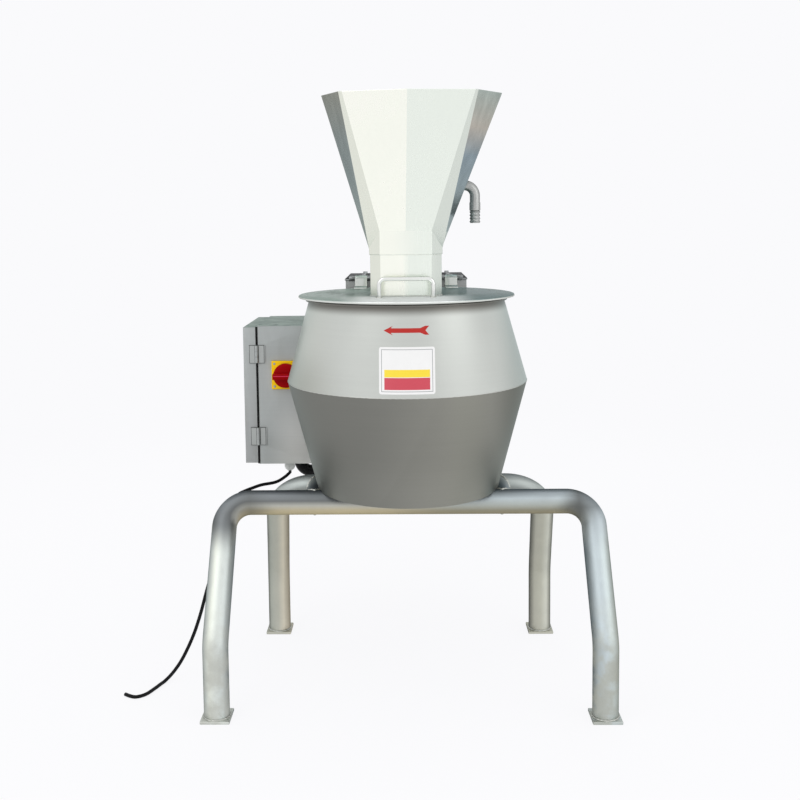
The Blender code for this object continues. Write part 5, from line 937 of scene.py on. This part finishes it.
def sticker(outline, thickness, lift):
    obj = meshObject("sticker", [(x, 0.0, z) for x, z in outline], faces=[tuple(range(len(outline)))])
    low, high = min(x for x, z in outline), max(x for x, z in outline)
    cuts = [(bpy.ops.mesh.bisect, {"plane_co": (low + (high - low) * i / 40, 0, 0), "plane_no": (1, 0, 0)})
            for i in range(1, 40)]
    thicken = (bpy.ops.mesh.extrude_region_move, {"TRANSFORM_OT_translate": {"value": (0, thickness, 0)}})
    editWhole(*cuts, thicken, faceOut)
    onCone(obj, lift)
    pick(obj)
    editWhole(faceOut)
    return obj


def roundedOutline(low, high, radius, steps=6):
    outline = []
    for cx, cz, start in ((high[0] - radius, low[1] + radius, -90), (high[0] - radius, high[1] - radius, 0),
                          (low[0] + radius, high[1] - radius, 90), (low[0] + radius, low[1] + radius, 180)):
        for i in range(steps + 1):
            t = math.radians(start + 90 * i / steps)
            outline.append((cx + radius * math.cos(t), cz + radius * math.sin(t)))
    return outline


arrowLook = {"left": -0.0442, "right": 0.0432, "z": 0.7658, "shaft": 0.0043, "head": 0.0086,
             "headLong": 0.0175, "tail": 0.0084, "tailLong": 0.017}
a = arrowLook
arrowHalf = [
    (a["left"] + a["headLong"], a["head"]),
    (a["left"] + a["headLong"] * 0.80, a["shaft"]),
    (a["right"] - a["tailLong"], a["shaft"]),
    (a["right"] - a["tailLong"] * 0.45, a["tail"]),
    (a["right"], a["tail"]),
]
arrowOutline = [(a["left"], a["z"]), *((x, a["z"] - rise) for x, rise in arrowHalf)]
arrowOutline += [(a["right"] - a["tailLong"] * 0.42, a["z"])]
arrowOutline += [(x, a["z"] + rise) for x, rise in reversed(arrowHalf)]
film = {"thickness": 0.00015, "lift": 0.0001}
arrow = sticker(arrowOutline, **film)
asPiece(arrow, "turning_arrow", "machine", "arrowRed")

labelLook = {"low": (-0.0532, 0.6478), "high": (0.0536, 0.7350), "corner": 0.0045, "inset": 0.0042,
             "line": 0.0012, "sides": (0.0100, 0.0098), "yellow": (0.6790, 0.6930), "red": (0.6560, 0.6780)}
n = labelLook
label = sticker(roundedOutline(n["low"], n["high"], n["corner"]), **film)
labelFace = Surface("labelFace", Roughness=0.38)
acrossX, upZ = labelFace.at("X"), labelFace.at("Z")


def between(value, low, high):
    return (value > low) * (value < high)


def field(inset):
    (lowX, lowZ), (highX, highZ) = n["low"], n["high"]
    return between(acrossX, lowX + inset, highX - inset) * between(upZ, lowZ + inset, highZ - inset)


frameLine = field(n["inset"]) - field(n["inset"] + n["line"])
fieldSides = between(acrossX, n["low"][0] + n["sides"][0], n["high"][0] - n["sides"][1])
yellowBand = fieldSides * between(upZ, *n["yellow"])
redBand = fieldSides * between(upZ, *n["red"])
tone = (labelFace.noise(60.0, 3.0) - 0.5) * 0.06 + 1.0
colour = labelFace.mix(frameLine, (0.80, 0.80, 0.80), (0.30, 0.31, 0.32))
colour = labelFace.mix(yellowBand, colour, (0.86, 0.66, 0.035))
colour = labelFace.mix(redBand, colour, (0.56, 0.055, 0.085))
labelFace.feed("Base Color", labelFace.tinted(colour, tone))
labelFace.bump(labelFace.noise(700.0, 2.0), 0.05)
finishes["labelFace"] = labelFace.material
asPiece(label, "plain_label", "machine", "labelFace")
print("marks made")

# The rest keeps its CAD form, with softened edges and its own finish

restOf = {
    "sealSilicone": ["lid_seal"],
    "brightRod": ["lid_hinge_pin_left", "lid_hinge_pin_right", "impeller", "impeller_cap", "knife_ring"],
    "housingSheet": ["feed_cone", "belt_tray", "belt_cover", "housing_shell", "rear_cover", "motor_plate"],
    "plateSheet": ["housing_top_plate", "hinge_leaf_left", "hinge_leaf_right"],
    "groundSteel": ["slicing_knife_1", "slicing_knife_2", "slicing_knife_3", "slicing_knife_4", "spindle",
                    "upper_bearing", "lower_bearing", "motor_shaft"],
    "castIron": ["spindle_pulley", "motor_pulley", "bearing_housing"],
    "beltRubber": ["drive_belt"],
    "motorPaint": ["motor_body", "fan_cowl"],
    "greyMoulding": ["motor_fan"],
    "blastedTube": ["spindle_carrier", "motor_carrier"],
}
for finish, names in restOf.items():
    for nodeName in names:
        dressed(nodeName, finish, 0.0004)
print("other pieces dressed")

# Floor, background and lamps

studio = {"background": (0.956, 0.956, 0.973), "worldLight": 0.98, "floorGlow": (0.982, 0.982, 1.0),
          "floorMix": 0.90, "fadeFrom": 1.2, "fadeTo": 3.2}
scene = bpy.context.scene
scene.view_settings.view_transform = "Standard"
world = bpy.data.worlds.new("studioWorld")
scene.world = world
world.use_nodes = True
tree = world.node_tree
tree.nodes.clear()


def seeing(tree):  # 1 for a ray that sees the studio, 0 for one that carries its light
    camera, glossy, through = (newNode(tree, "ShaderNodeLightPath", output=f"Is {kind} Ray")
                               for kind in ("Camera", "Glossy", "Transmission"))
    return camera + glossy + through


light = {"Color": (1, 1, 1, 1), "Strength": studio["worldLight"]}
lighting = newNode(tree, "ShaderNodeBackground", inputs=light)
shown = newNode(tree, "ShaderNodeBackground", inputs={"Color": (*studio["background"], 1)})
choice = newNode(tree, "ShaderNodeMixShader", inputs={0: seeing(tree), 1: lighting, 2: shown})
tree.links.new(choice.socket, tree.nodes.new("ShaderNodeOutputWorld").inputs[0])

deselect()
bpy.ops.mesh.primitive_plane_add(size=40, location=(0, 0, -0.0002))
floor = bpy.context.object
floor.name = "studio_floor"
floorFace = Surface("studioFloor", Base_Color=(0.80, 0.80, 0.80, 1), Roughness=1.0, Specular_IOR_Level=0.0)
distance = floorFace.make("ShaderNodeVectorMath", {"operation": "LENGTH"}, {0: floorFace.point}, "Value")
far = floorFace.ramp(distance, studio["fadeFrom"], studio["fadeTo"])
# one glow near the machine, and one far off where the floor meets the backdrop
near, beyond = (floorFace.make("ShaderNodeEmission", inputs={"Color": (*studio[key], 1)})
                for key in ("floorGlow", "background"))
fade = floorFace.make("ShaderNodeMixShader", inputs={0: far, 1: near, 2: beyond})
seen = seeing(floorFace.tree) * (far * (1.0 - studio["floorMix"]) + studio["floorMix"])
matt = Channel(floorFace.tree, floorFace.shader.outputs[0])
choice = floorFace.make("ShaderNodeMixShader", inputs={0: seen, 1: matt, 2: fade})
floorFace.tree.links.new(choice.socket, floorFace.tree.nodes["Material Output"].inputs["Surface"])
floor.data.materials.append(floorFace.material)

lamps = {
    "keyLamp": {"at": (-1.9, -2.3, 2.6), "size": 2.0, "power": 19.0},
    "fillLamp": {"at": (2.2, -1.8, 1.7), "size": 1.8, "power": 10.0},
    "topLamp": {"at": (0.2, 0.3, 3.2), "size": 2.2, "power": 8.0},
}
for name, look in lamps.items():
    data = bpy.data.lights.new(name, "AREA")
    data.energy = look["power"]
    data.size = look["size"]
    lamp = bpy.data.objects.new(name, data)
    lamp.location = look["at"]
    aim = Vector((0, axisY, 0.65)) - lamp.location
    lamp.rotation_euler = aim.to_track_quat("-Z", "Y").to_euler()
    scene.collection.objects.link(lamp)
print("studio set")
